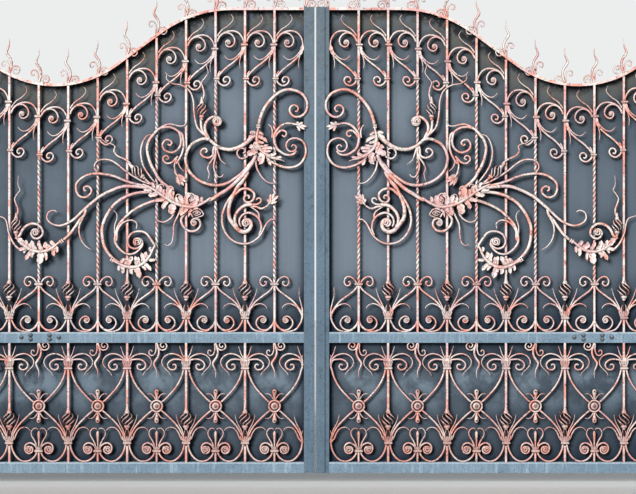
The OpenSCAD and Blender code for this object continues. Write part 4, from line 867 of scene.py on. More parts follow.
FOLIAGE = [
    Foliage(
        Grid(131.6, 1722, 0.16667), (9, 14, 3),
        [(866, 120), (872, 220), (900, 320), (912, 430), (905, 560), (880, 680), (830, 770), (750, 850),
            (650, 925), (540, 985), (420, 1035), (300, 1065), (190, 1095), (125, 1130)],
        [
            (80, [(885, 290), (800, 320), (715, 388)]), (105, [(900, 380), (800, 440), (690, 500), (600, 600)]),
            (80, [(900, 520), (810, 585), (690, 600)]), (70, [(860, 690), (740, 690), (570, 655)]),
            (95, [(820, 760), (660, 745), (520, 745), (475, 800)]), (85, [(780, 810), (640, 835), (490, 830)]),
            (95, [(560, 965), (450, 935), (350, 890)]), (80, [(380, 1045), (290, 1010), (190, 1010)]),
            (100, [(590, 1050), (560, 1140), (503, 1250)]),
            (165, [(835, 880), (760, 990), (770, 1110), (858, 1222)]),
            (90, [(830, 960), (850, 1040), (870, 1130)]), (90, [(940, 330), (1020, 290), (1120, 330)]),
            (120, [(950, 370), (1040, 410), (1165, 460)]), (120, [(880, 800), (940, 680), (985, 565)]),
            (130, [(900, 790), (1010, 700), (1140, 745)]),
            (190, [(890, 830), (1000, 850), (1110, 900), (1185, 965)]),
        ],
    ),
    Foliage(
        Grid(511.6, 1446.5, 0.27266), (13, 14, 11),
        [(-40, 310), (20, 355), (100, 405), (200, 452), (300, 472), (420, 460), (540, 425), (640, 380),
            (740, 320), (840, 250), (940, 180), (1050, 118), (1150, 75)],
        [
            (60, [(90, 395), (130, 345), (100, 290)]), (70, [(150, 425), (190, 370), (160, 320)]),
            (95, [(350, 455), (250, 420), (205, 330), (260, 250)]),
            (90, [(360, 450), (400, 360), (370, 270), (290, 235)]), (60, [(300, 400), (310, 340), (265, 310)]),
            (90, [(470, 445), (470, 350), (520, 255)]), (60, [(500, 430), (560, 350), (560, 290)]),
            (125, [(600, 395), (690, 300), (690, 190), (620, 140)]), (80, [(640, 360), (640, 270), (600, 190)]),
            (95, [(790, 275), (850, 190), (830, 95)]), (60, [(760, 290), (790, 210), (770, 160)]),
            (60, [(880, 220), (900, 150), (870, 80)]), (55, [(960, 165), (960, 100), (1000, 40)]),
            (110, [(390, 480), (450, 540), (490, 625)]), (70, [(370, 480), (400, 530), (440, 560)]),
            (140, [(610, 420), (640, 510), (650, 605)]), (85, [(700, 355), (770, 430), (797, 515)]),
            (70, [(750, 325), (850, 350), (945, 360)]), (85, [(880, 235), (970, 260), (1055, 268)]),
            (60, [(980, 165), (1070, 180), (1135, 165)]),
        ],
    ),
    Foliage(
        Grid(744.3, 1218.5, 0.16964), (10, 15, 11),
        [(125, 485), (190, 600), (255, 750), (345, 880), (450, 980), (580, 1060), (710, 1095), (850, 1100),
            (1000, 1062), (1130, 1000), (1240, 945), (1335, 885)],
        [
            (90, [(200, 660), (270, 600), (240, 530)]), (105, [(310, 840), (390, 760), (375, 655)]),
            (130, [(480, 980), (460, 850), (515, 680)]), (105, [(560, 1030), (600, 920), (590, 800)]),
            (110, [(650, 1060), (650, 920), (690, 780)]), (140, [(900, 1050), (830, 910), (750, 790)]),
            (105, [(990, 1030), (940, 920), (900, 830)]), (100, [(1120, 980), (1040, 920), (990, 835)]),
            (90, [(310, 890), (210, 900), (112, 880)]), (120, [(460, 1020), (330, 1070), (232, 1200)]),
            (80, [(500, 1060), (430, 1110), (375, 1195)]), (175, [(690, 1110), (600, 1220), (558, 1415)]),
            (110, [(720, 1110), (810, 1180), (750, 1305)]), (110, [(1080, 1040), (1020, 1150), (1040, 1290)]),
            (80, [(1110, 1040), (1150, 1110), (1135, 1205)]),
        ],
    ),
    Foliage(
        Grid(1224.1, 1266, 0.18482), (11, 13, 5),
        [(-80, 590), (0, 640), (100, 725), (200, 795), (330, 848), (480, 868), (620, 848), (760, 785),
            (900, 685), (1000, 595), (1075, 520), (1086, 392)],
        [
            (110, [(110, 730), (150, 650), (225, 595)]), (150, [(190, 790), (300, 730), (390, 660)]),
            (80, [(230, 800), (330, 690), (320, 605)]), (105, [(410, 850), (470, 740), (540, 610)]),
            (120, [(560, 850), (650, 720), (690, 565)]), (80, [(620, 830), (720, 730), (735, 640)]),
            (100, [(740, 780), (820, 660), (835, 560)]), (150, [(860, 710), (950, 610), (1040, 510)]),
            (80, [(60, 720), (30, 800), (45, 900)]), (105, [(90, 740), (130, 860), (108, 995)]),
            (80, [(360, 870), (310, 970), (322, 1100)]), (190, [(440, 880), (460, 1020), (490, 1195)]),
            (90, [(600, 865), (680, 930), (670, 1030)]), (115, [(650, 860), (770, 950), (850, 1095)]),
            (100, [(790, 770), (910, 790), (1025, 832)]), (70, [(810, 790), (870, 850), (885, 915)]),
        ],
    ),
    Foliage(
        GRID, (7, 10, 8),
        [(240, 822), (205, 828), (165, 838)],
        [
            (26, [(190, 832), (135, 840), (88, 854)]), (24, [(185, 838), (145, 858), (106, 880)]),
            (26, [(185, 835), (170, 865), (158, 898)]), (24, [(190, 834), (155, 822), (124, 808)]),
            (22, [(195, 830), (184, 816), (172, 801)]),
        ],
    ),
    Foliage(
        GRID, (7, 10, 8),
        [(470, 1620), (452, 1598), (435, 1570)],
        [
            (28, [(448, 1592), (405, 1560), (365, 1524)]), (26, [(446, 1588), (426, 1545), (408, 1499)]),
            (24, [(450, 1588), (448, 1548), (441, 1508)]), (26, [(452, 1598), (464, 1578), (477, 1555)]),
            (26, [(452, 1600), (415, 1594), (378, 1582)]),
        ],
    ),
    Foliage(
        GRID, (7, 10, 8),
        [(1385, 1290), (1365, 1318), (1345, 1350)],
        [
            (28, [(1360, 1325), (1318, 1342), (1268, 1360)]), (26, [(1356, 1332), (1312, 1362), (1264, 1396)]),
            (28, [(1354, 1335), (1325, 1382), (1290, 1432)]), (26, [(1358, 1335), (1345, 1385), (1331, 1432)]),
            (24, [(1362, 1335), (1358, 1372), (1352, 1410)]), (22, [(1362, 1320), (1332, 1328), (1298, 1338)]),
        ],
    ),
]


# ---------------------------------------------------------------- the forged rows of one leaf


@dataclass
class ForgedRow:
    """A row of forged work on one leaf."""

    kind: Row
    lean: float = 7
    anvil: Anvil = field(default_factory=Anvil)

    def forge(self) -> None:
        """Builds the row's mesh on the right leaf."""
        raise NotImplementedError

    def hang(self, side: Side, finish: bpy.types.Material) -> None:
        """Puts the row on a leaf in place of its CAD node.

        Args:
            side: The leaf.
            finish: The row's finish.
        """
        piece = self.anvil.finish(f"{side.label}_{self.kind.value}_forged", side, finish)
        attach(piece, side.body)
        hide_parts(f"{side.label}_{self.kind.value}")


def fan(u: float, z: float, wide: float = 58, high: float = 32) -> list[Strand]:
    """The ribs of the fluted foot that opens over a collar, where the scrolls spring from.

    Args:
        u: Distance from the gate's middle.
        z: Height of the collar's middle.
        wide: Its width at the top.
        high: Its height.

    Returns:
        The ribs.
    """
    ribs = []
    for k in (-2, -1, 1, 2, 0):
        points = [(u + out * k * wide, z + up) for out, up in ((0.11, 4), (0.13, 0.35 * high), (0.2, high))]
        ribs.append(Strand(points, 0.2 * wide, 0.17 * wide, lift=3 - abs(k), tip_lift=7 - abs(k)))
    return ribs


@dataclass
class TwistedBars(ForgedRow):
    """Square uprights, twisted between their collars."""

    foot_width: float = 10.2
    twist_width: float = 8.6
    head_width: float = 11
    quarter_turn: float = 25

    def forge(self) -> None:
        """Forges every second upright of the upper field."""
        for i in GATE.twisted:
            u = GATE.bar_u(i)
            low, high = GATE.crown_z + 10, GATE.fern_end(i) - 12
            self.anvil.rod(u, GATE.mid_top, low, self.foot_width, self.lean)
            self.anvil.rod(u, low, high, self.twist_width, self.lean, self.quarter_turn)
            self.anvil.rod(u, high, GATE.bar_top(u), self.head_width, self.lean)


@dataclass
class BasketBars(ForgedRow):
    """Square uprights that carry a basket over the middle rail."""

    foot: float = GATE.mid_top
    middle: float = GATE.basket_z
    collar: float = GATE.foot_z
    head_rise: float = 50
    neck_drop: float = 128
    foot_width: float = 10.5
    head_width: float = 10.8

    def top(self, u: float) -> float:
        """Upper end of the upright at u."""
        return GATE.bar_top(u)

    def forge(self) -> None:
        """Forges the uprights between the twisted ones."""
        neck = [(5, -self.neck_drop - 7), (4.2, -self.neck_drop), (4.2, -54), (3.5, -self.head_rise)]
        for i in GATE.baskets:
            u = GATE.bar_u(i)
            self.anvil.rod(u, self.middle + self.head_rise, self.top(u), self.head_width, self.lean)
            self.anvil.basket(u, self.middle, self.lean)
            self.anvil.turned(u, self.middle, neck, self.lean, parts=8, hollow=1)
            self.anvil.rod(u, self.foot, self.middle - self.neck_drop, self.foot_width, self.lean)
            self.anvil.strands(fan(u, self.collar), self.lean, hollow=0.3)


@dataclass
class LowerBars(BasketBars):
    """Short uprights of the lower panel with their baskets."""

    foot: float = GATE.low_top
    middle: float = GATE.low_basket_z
    collar: float = GATE.cell_z

    def top(self, u: float) -> float:
        """Underside of the middle rail, where every short upright ends."""
        return GATE.mid_z


class Finials(ForgedRow):
    """Flames over the top rail."""

    def forge(self) -> None:
        """Stands a flame over every upright, sunk by a millimetre, and on both stiles."""
        feet = [(GATE.bar_u(i), GATE.rail_top(GATE.bar_u(i)) - 1) for i in range(1, GATE.bays)]
        feet.append((GATE.edge_in - GATE.bar / 2, GATE.crest_z + GATE.stile_rise))
        feet.append((GATE.edge_out + GATE.tube / 2, GATE.rail_top(GATE.edge_out) + GATE.tube))
        self.anvil.strands([strand.moved(u, z) for u, z in feet for strand in FLAME], self.lean)


class FernScrolls(ForgedRow):
    """The row that follows the wave of the top rail."""

    def forge(self) -> None:
        """Forges one group of scrolls in each bay."""
        collars = [(GATE.bar_u(i), GATE.fern_z(i)) for i in range(GATE.bays)]
        self.anvil.strands([strand.moved(u, z) for u, z in collars for strand in FERN], self.lean)
        for u, z in collars:
            spine = [(u + x, z + y) for x, y in FERN_LEAF]
            self.anvil.leaflet(spine, width=20, depth=self.lean - 1, rise=3, curl=2)
            x, y, radius = FERN_EYE
            self.anvil.eye(u + x, z + y, radius, self.lean)


class CrownScrolls(ForgedRow):
    """The row over the middle rail."""

    def forge(self) -> None:
        """Forges a mirrored pair of groups at each twisted upright, with one flame beside a stile."""
        runs = []
        halves = [(i, GATE.bar_u(i), way) for i in GATE.twisted for way in (1, -1)]
        for i, u, way in halves:
            ending = i == (1 if way < 0 else GATE.bays - 1)
            flames = CROWN_END if ending else CROWN_FLAMES
            runs += [strand.moved(u, GATE.crown_z, way) for strand in flames + CROWN]
        self.anvil.strands(runs, self.lean)
        x, y, radius = CROWN_EYE
        for _, u, way in halves:
            self.anvil.eye(u + way * x, GATE.crown_z + y, radius, self.lean)


class PanelScrolls(ForgedRow):
    """The cells of the lower panel."""

    def forge(self) -> None:
        """Forges the mirrored halves, the middle bud and the hanging flame of each cell."""
        z = GATE.low_top
        x, y, radius = CELL_EYE
        runs: list[Strand] = []
        feet: list[Strand] = []
        for i in GATE.twisted:
            u = GATE.bar_u(i)
            runs += [strand.moved(u, z, way) for way in (1, -1) for strand in CELL]
            runs += [strand.moved(u, GATE.mid_z, 1, -1) for strand in FLAME]
            runs.append(CELL_STALK.moved(u, z))
            self.anvil.turned(u, z, CELL_BUD, self.lean, parts=10)
            feet += fan(u, GATE.bud_z, wide=38, high=22)
            for way in (1, -1):
                self.anvil.eye(u + way * x, z + y, radius, self.lean)
        for i in GATE.baskets:
            feet += fan(GATE.bar_u(i), GATE.plume_z, wide=52, high=34)
        self.anvil.strands(runs, self.lean)
        self.anvil.strands(feet, self.lean, hollow=0.3)


@dataclass
class Rosettes(ForgedRow):
    """Rings with a dome and two buds."""

    ring_radius: float = 26.8
    ring_width: float = 9.5
    berry_rise: float = 69

    def forge(self) -> None:
        """Forges a rosette in the middle of each cell."""
        for i in GATE.twisted:
            self._rosette(GATE.bar_u(i), GATE.ring_z)

    def _rosette(self, u: float, z: float) -> None:
        """Forges one rosette.

        Args:
            u: Distance from the gate's middle.
            z: Height of its middle.
        """
        turn = arc(u, z, self.ring_radius, 0, math.tau, 24)
        ring = Strand(turn, self.ring_width, self.ring_width, steps=2)
        self.anvil.strands([ring], self.lean - 2)
        for outline, parts, hollow in ROSETTE_DOMES:
            self.anvil.boss(u, z, outline, self.lean, parts, hollow)
        for up in (1, -1):
            bud = [(r, up * h) for r, h in ROSETTE_BUD[::up]]
            self.anvil.turned(u, z, bud, self.lean, parts=12)
            berry = z + up * self.berry_rise
            self.anvil.boss(u, berry, ROSETTE_BERRY, self.lean, parts=10, hollow=0.8)
            for way in (1, -1):
                petal = [(u + way * x, z + up * y) for x, y in ROSETTE_PETAL]
                self.anvil.strands([Strand(petal, 7, 2.5, lift=1, tip_lift=4)], self.lean)


@dataclass
class Collars(ForgedRow):
    """Bands that hold scroll ends to the uprights."""

    front: float = -3.3
    back: float = 17.3
    half: float = 7
    bevel: float = 2.2
    face_width: float = 9

    def spots(self) -> list[Triple]:
        """Finds the collars on the leaf's face.

        Returns:
            Middle and width of each one.
        """
        out: list[Triple] = []
        for i in range(1, GATE.bays):
            u = GATE.bar_u(i)
            out += [(u + 3, GATE.fern_z(i), 32), (u - 5, GATE.fern_end(i), 28)]
            heights = [GATE.foot_z, GATE.plume_z, GATE.cell_z]
            if i in GATE.twisted:
                heights = [GATE.crown_z, GATE.bud_z]
            out += [(u, z, 38) for z in heights]
        return out

    def forge(self) -> None:
        """Forges the bands with their rounded faces, which are rubbed brighter in the lower panel."""
        for u, z, width in self.spots():
            left, right = u - width / 2, u + width / 2
            low = Vector((left, self.front, z - self.half))
            high = Vector((right, self.back, z + self.half))
            self.anvil.block(low, high, self.bevel, hollow=0.25)
            face = Strand([(left, z), (right, z)], self.face_width, self.face_width, steps=1)
            rubbed = -0.2 if z > GATE.mid_z else -0.6
            self.anvil.strands([face], self.front + 0.1, Profile.ROUND, hammered=0, hollow=rubbed)


@dataclass
class Ornament(ForgedRow):
    """The large ornament of strands, baskets and acanthus leaves across the upper field."""

    stem_depth: float = -6
    curl_depth: float = -8
    leaf_depth: float = -9
    keel_depth: float = -10

    def forge(self) -> None:
        """Forges the strands first, then what grows on them."""
        runs = []
        for *widths, lift, points in ORNAMENT_LINES:
            start, middle, end = (w and 1.25 * w + min(max(0.4 * (w - 10), 0), 1.5) for w in widths)
            runs.append(Strand(GRID.on_leaf(points), start, end, middle, lift))
        self.anvil.strands(runs, self.stem_depth)
        for u, z, radius, first, sweep in ROLLS:
            roll = arc(u, z, radius, first, sweep, 9)
            roll = Strand(roll, 0.5 * radius + 1, 0.3 * radius, lift=9, steps=1)
            self.anvil.strands([roll], self.curl_depth, hollow=-0.4)
        for x, y, tilt in ORNAMENT_BASKETS:
            self.anvil.basket(*GRID.spot(x, y), self.keel_depth, radius=26, half=27, tilt=tilt)
        for x, y, radius in EYES:
            self.anvil.eye(*GRID.spot(x, y), radius, self.curl_depth)
        self._rose()
        for number, leaf in enumerate(FOLIAGE):
            self._leaf(leaf, number)

    def _rose(self) -> None:
        """Forges the rolled rose with its small leaves."""
        x, y, radius = ROSE
        u, z = GRID.spot(x, y)
        ground = [(0.5, 3), (radius * 0.6, 0), (radius * 0.6, -5), (0.5, -5)]
        self.anvil.boss(u, z, ground, self.curl_depth, parts=16, hollow=0.9)
        for ring, (wide, high, thick) in enumerate(((30, 20, 9), (17, 10, 6.5), (6, 4, 6))):
            edge = []
            for k in range(23):
                a = 0.27 * k - 1 + 0.9 * ring
                crinkle = 1 + 0.09 * math.sin(4.1 * a + ring)
                edge.append((u + wide * crinkle * math.cos(a), z + high * crinkle * math.sin(a) + ring))
            petals = Strand(edge, thick, 0.6 * thick, lift=3 + 2 * ring, steps=1)
            self.anvil.strands([petals], self.curl_depth, hollow=-0.2)
        for width, depth, curl, spine in ROSE_LEAVES:
            self.anvil.leaflet([(u + x, z + y) for x, y in spine], width, depth, rise=3, curl=curl)

    def _leaf(self, leaf: Foliage, number: int) -> None:
        """Forges one acanthus leaf; the large ones have a keel on the rib and most a clasp at the stem.

        Args:
            leaf: Its drawing.
            number: Its place in the row, which varies the bow of its leaflets.
        """
        start, middle, end = leaf.rib_width
        rib = leaf.grid.on_leaf(leaf.rib)
        stem = Strand(rib, start, end, middle, lift=7, steps=3)
        self.anvil.strands([stem], self.curl_depth, hollow=-0.3)
        for k, (width, points) in enumerate(leaf.leaflets):
            spine, rise = leaf.grid.on_leaf(points), 4 + (k * 7 + number) % 4
            self.anvil.leaflet(spine, 1.08 * width * leaf.grid.scale, self.leaf_depth, rise, 5 + k % 3)
        if len(rib) > 3:
            keel = rib if number < 2 else rib[::-1]
            self.anvil.leaflet(keel, width=18, depth=self.keel_depth, rise=4, curl=3)
            if number != 1:
                self._clasp(rib[-2:] if number == 2 else rib[1::-1])

    def _clasp(self, stem: list[Point]) -> None:
        """Forges the bands around the stem where a leaf starts, two bright ones and a dark one after each.

        Args:
            stem: A point inside the leaf and the stem's end.
        """
        (x0, y0), (x1, y1) = stem
        length = math.hypot(x1 - x0, y1 - y0)
        dx, dy = (x1 - x0) / length, (y1 - y0) / length
        for along, thick, hollow in ((-6, 7, -1), (-1, 5, 1), (4, 7, -1), (9, 5, 1)):
            x, y = x1 + dx * along, y1 + dy * along
            band = Strand([(x - 9 * dy, y + 9 * dx), (x + 9 * dy, y - 9 * dx)], thick, thick, lift=8, steps=1)
            self.anvil.strands([band], self.stem_depth, Profile.ROUND, hammered=0, hollow=hollow)


@dataclass(frozen=True)
class Bolts:
    """Round-headed bolts of bare iron on each leaf's middle rail."""

    spots: tuple[Point, ...] = ((1224, 699), (1268, 689), (1268, 709), (1358, 689), (1358, 709), (1402, 699))
    head: tuple[Point, ...] = (
        (0.5, 7.5), (4, 7), (7.2, 4.8), (8.8, 2), (9, 0.8), (11, 0.8), (11.4, 0), (0.5, 0),
    )

    def fit(self, side: Side, finish: bpy.types.Material) -> None:
        """Fits the bolts of one leaf.

        Args:
            side: The leaf.
            finish: Finish of the bolts.
        """
        anvil = Anvil()
        for u, z in self.spots:
            anvil.boss(u, z, list(self.head), depth=0, parts=20)
        piece = anvil.finish(f"{side.label}_mid_rail_bolts", side, finish)
        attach(piece, side.body)


# ---------------------------------------------------------------- finishes


class Network:
    """A material's nodes, built one after another."""

    def __init__(self, name: str) -> None:
        """Starts a material with its shader and object coordinates.

        Args:
            name: Name of the material.
        """
        self.material = bpy.data.materials.new(name)
        self.material.use_nodes = True
        self.nodes = self.material.node_tree.nodes
        self.links = self.material.node_tree.links
        self.shader = self.nodes["Principled BSDF"]
        self.place = self.nodes.new("ShaderNodeTexCoord")

    def put(self, socket: bpy.types.NodeSocket, value: object) -> None:
        """Links or sets a socket.

        Args:
            socket: The socket.
            value: Another node's socket, a colour or a number.
        """
        if isinstance(value, bpy.types.NodeSocket):
            self.links.new(value, socket)
        elif isinstance(value, tuple) and len(value) == 3 and len(socket.default_value) == 4:
            socket.default_value = (*value, 1)
        else:
            socket.default_value = value

    def make(self, kind: str, **inputs: object) -> bpy.types.Node:
        """Adds a node and links or sets its inputs.

        Args:
            kind: What the node's type ends with.
            inputs: Values by the name of the input, with _ for a space.

        Returns:
            The node.
        """
        node = self.nodes.new(f"ShaderNode{kind}")
        for name, value in inputs.items():
            self.put(node.inputs[name.replace("_", " ")], value)
        return node

    def noise(
        self, scale: float, detail: float = 4, stretch: Triple = (1, 1, 1), rough: float = 0.55
    ) -> bpy.types.NodeSocket:
        """Noise on object coordinates.

        Args:
            scale: Cells to a metre.
            detail: Layers of finer noise.
            stretch: Scale along each axis.
            rough: Share of the finer layers.

        Returns:
            The noise's value.
        """
        mapping = self.make("Mapping", Vector=self.place.outputs["Object"], Scale=stretch)
        vector = mapping.outputs["Vector"]
        return self.make("TexNoise", Vector=vector, Scale=scale, Detail=detail, Roughness=rough).outputs["Fac"]

    def axis(self, source: str, which: str) -> bpy.types.NodeSocket:
        """One axis of the object's coordinates or of its normal."""
        return self.make("SeparateXYZ", Vector=self.place.outputs[source]).outputs[which]

    def layer(self, name: str) -> bpy.types.NodeSocket:
        """A value that the mesh carries at its points.

        Args:
            name: Name of the attribute.

        Returns:
            The value.
        """
        node = self.make("Attribute")
        node.attribute_name = name
        return node.outputs["Fac"]

    def open_air(self, reach: float) -> bpy.types.NodeSocket:
        """How open a place is: 1 on free faces, lower in recesses and behind other pieces.

        Args:
            reach: How far away a piece still counts, in metres.

        Returns:
            The share of open air.
        """
        node = self.make("AmbientOcclusion", Distance=reach)
        node.samples = 8
        return node.outputs["AO"]

    def math(self, operation: str, first: object, second: object) -> bpy.types.NodeSocket:
        """A sum, product or other step between two values.

        Args:
            operation: The step.
            first: The first value.
            second: The second value.

        Returns:
            The result.
        """
        node = self.make("Math")
        node.operation = operation
        self.put(node.inputs[0], first)
        self.put(node.inputs[1], second)
        return node.outputs[0]

    def times(self, first: object, second: object) -> bpy.types.NodeSocket:
        """The product of two values."""
        return self.math("MULTIPLY", first, second)

    def ramp(
        self, value: object, low: float, high: float, start: float = 0, end: float = 1
    ) -> bpy.types.NodeSocket:
        """A value brought from one range to another, smoothly and clamped.

        Args:
            value: What is mapped.
            low: Where the range starts.
            high: Where it ends.
            start: What it gives at low.
            end: What it gives at high.

        Returns:
            The mapped value.
        """
        node = self.make("MapRange", Value=value, From_Min=low, From_Max=high, To_Min=start, To_Max=end)
        node.interpolation_type = "SMOOTHSTEP"
        return node.outputs[0]

    def mix(self, share: object, first: object, second: object) -> bpy.types.NodeSocket:
        """A mix of two colours.

        Args:
            share: How much of the second one shows.
            first: The first colour.
            second: The second colour.

        Returns:
            The mixed colour.
        """
        node = self.nodes.new("ShaderNodeMix")
        node.data_type = "RGBA"
        for name, value in (("Factor", share), ("A", first), ("B", second)):
            self.put(node.inputs[name], value)
        return node.outputs["Result"]

    def coats(self, colour: object, layers: list[tuple[object, object]]) -> object:
        """Lays colours over a first one.

        Args:
            colour: The first colour.
            layers: Share and colour of each coat, from the lowest to the uppermost.

        Returns:
            The colour that shows.
        """
        for share, over in layers:
            colour = self.mix(share, colour, over)
        return colour

    def bump(self, height: bpy.types.NodeSocket, strength: float, distance: float) -> None:
        """Gives the shader a rough surface."""
        node = self.make("Bump", Strength=strength, Distance=distance, Height=height)
        self.put(self.shader.inputs["Normal"], node.outputs["Normal"])

    def close(
        self, colour: object, roughness: object, metallic: float = 0.0, gloss: float = 0.5
    ) -> bpy.types.Material:
        """Sets the shader.

        Args:
            colour: The surface's colour.
            roughness: Its roughness.
            metallic: How metallic it is.
            gloss: How strongly it reflects.

        Returns:
            The material.
        """
        self.put(self.shader.inputs["Base Color"], colour)
        self.put(self.shader.inputs["Roughness"], roughness)
        self.put(self.shader.inputs["Metallic"], metallic)
        self.put(self.shader.inputs["Specular IOR Level"], gloss)
        return self.material


def shade(red: int, green: int, blue: int) -> Colour:
    """A colour written in screen values of 0 to 255, as light values."""
    return tuple(((v / 255 + 0.055) / 1.055) ** 2.4 if v > 10 else v / 255 / 12.92 for v in (red, green, blue))


@dataclass(frozen=True)
class Patina:
    """Dark forged iron rubbed over with a copper-rose patina on what faces the viewer or the drive."""

    iron: Colour = shade(34, 26, 30)
    worn: Colour = shade(112, 80, 80)
    copper: Colour = shade(248, 174, 158)
    lilac: Colour = shade(230, 194, 200)
    bright: Colour = shade(255, 240, 232)
    pit: Colour = shade(62, 42, 40)
    low: Colour = shade(212, 142, 126)

    def mix(self) -> bpy.types.Material:
        """Builds the finish.

        Returns:
            The material.
        """
        net = Network("patina_iron")
        outward = net.axis("Normal", "Y")
        facing = net.math("ADD", net.ramp(outward, -0.85, -0.3, 1, 0), net.ramp(outward, 0.3, 0.85, 0, 0.7))
        pit = net.layer(HOLLOW)
        patches = net.ramp(net.noise(9), 0.34, 0.5, 0.85, 1)
        rubbed = net.ramp(net.noise(90, rough=0.7), 0.34, 0.47, 0.22, 1)
        cover = net.times(facing, net.times(patches, rubbed))
        # In recesses the cover thins by ambient occlusion: bare dark iron there, and painted shade as well
        for share in (net.ramp(pit, 0, 1, 1, 0), net.ramp(net.open_air(0.016), 0.3, 0.78)):
            cover = net.times(cover, share)
        cover = net.math("MAXIMUM", cover, net.times(pit, -1.0))
        base = [
            (net.ramp(net.noise(26), 0.46, 0.7), self.worn),
            (net.ramp(pit, 0.3, 1, 0, 0.85), self.pit),
        ]
        hammered = net.noise(62, 3, rough=0.6)
        glow = net.math("ADD", net.noise(16, 3), net.times(hammered, 0.5))
        earthy = net.ramp(net.axis("Object", "Z"), 0.1, 0.8, 0.6, 0)
        tints = [
            (net.ramp(glow, 0.61, 0.84), self.bright),
            (net.ramp(net.noise(6, 3), 0.48, 0.62, 0, 0.5), self.lilac),
            (net.ramp(pit, -1, 0, 0.85, 0), self.bright),
            (net.times(earthy, net.ramp(net.noise(12, 3), 0.3, 0.6, 0.4, 1)), self.low),
        ]
        net.bump(net.math("ADD", hammered, net.times(net.noise(240, 3), 0.1)), 0.5, 0.003)
        colour = net.mix(cover, net.coats(self.iron, base), net.coats(self.copper, tints))
        return net.close(colour, net.ramp(cover, 0, 1, 0.6, 0.42), 0.05, 0.3)


@dataclass(frozen=True)
class Paint:
    """Blue-grey paint on the frame, with chalky wear and streaks, painted highlights on upward faces and along
    the rails' upper edges, and painted shade in corners.
    """

    name: str = "frame_paint"
    base: Colour = shade(94, 117, 135)
    pale: Colour = shade(126, 150, 170)
    dirt: Colour = shade(58, 66, 72)
    # Dark tone of the painted shade in corners and where parts meet
    seam: Colour = shade(30, 38, 44)
    # Pale tone of the painted highlight on faces that turn up
    rubbed: Colour = shade(196, 212, 222)
    faded: Colour = shade(112, 118, 116)
    # Pale tone of the painted highlight along upper edges
    edge: Colour = shade(206, 222, 232)
    smears: float = 0.35
    soiled: float = 0.7
    # Heights of the upper edges that get a painted highlight
    edges: tuple[float, ...] = ()
    aged: float = 0.45

    def mix(self) -> bpy.types.Material:
        """Builds the finish.

        Returns:
            The material.
        """
        net = Network(self.name)
        height = net.axis("Object", "Z")
        cloud = net.ramp(net.noise(5, 5), 0.35, 0.7)
        scratches = net.ramp(net.noise(30, 3, (5, 5, 0.12)), 0.56, 0.7, 0, 0.3)
        aged = net.ramp(height, 1.2, 2.25, 0, self.aged)
        coats = [
            (net.times(cloud, 0.3), self.pale),
            (net.ramp(net.noise(9, 4, (7, 7, 0.5)), 0.52, 0.72, 0, self.smears), self.pale),
            # Faces that turn up get a painted highlight
            (net.ramp(net.axis("Normal", "Z"), 0.3, 0.8, 0, 0.8), self.rubbed),
            (net.times(scratches, cloud), self.dirt),
            (net.times(aged, net.ramp(net.noise(11, 5), 0.3, 0.6, 0.5, 1)), self.faded),
        ]
        # A painted highlight along the upper edge at each of these heights
        for top in self.edges:
            rise = net.ramp(height, top - 0.009, top - 0.003, 0, 0.75)
            coats.append((net.times(rise, net.ramp(height, top, top + 0.01, 1, 0)), self.edge))
        coats += [
            (net.ramp(net.noise(150, 3, rough=0.7), 0.35, 0.65, 0, 0.3), self.dirt),
            (net.ramp(net.noise(34, 6, rough=0.75), 0.5, 0.74, 0, self.soiled), self.dirt),
            # Painted shade in corners and where parts meet, laid by ambient occlusion
            (net.ramp(net.open_air(0.012), 0.5, 0.92, 0.75, 0), self.seam),
        ]
        net.bump(net.noise(190, 5), 0.18, 0.0006)
        rough = net.ramp(net.noise(30, 3), 0.3, 0.7, 0.38, 0.6)
        return net.close(net.coats(self.base, coats), rough, gloss=0.3)


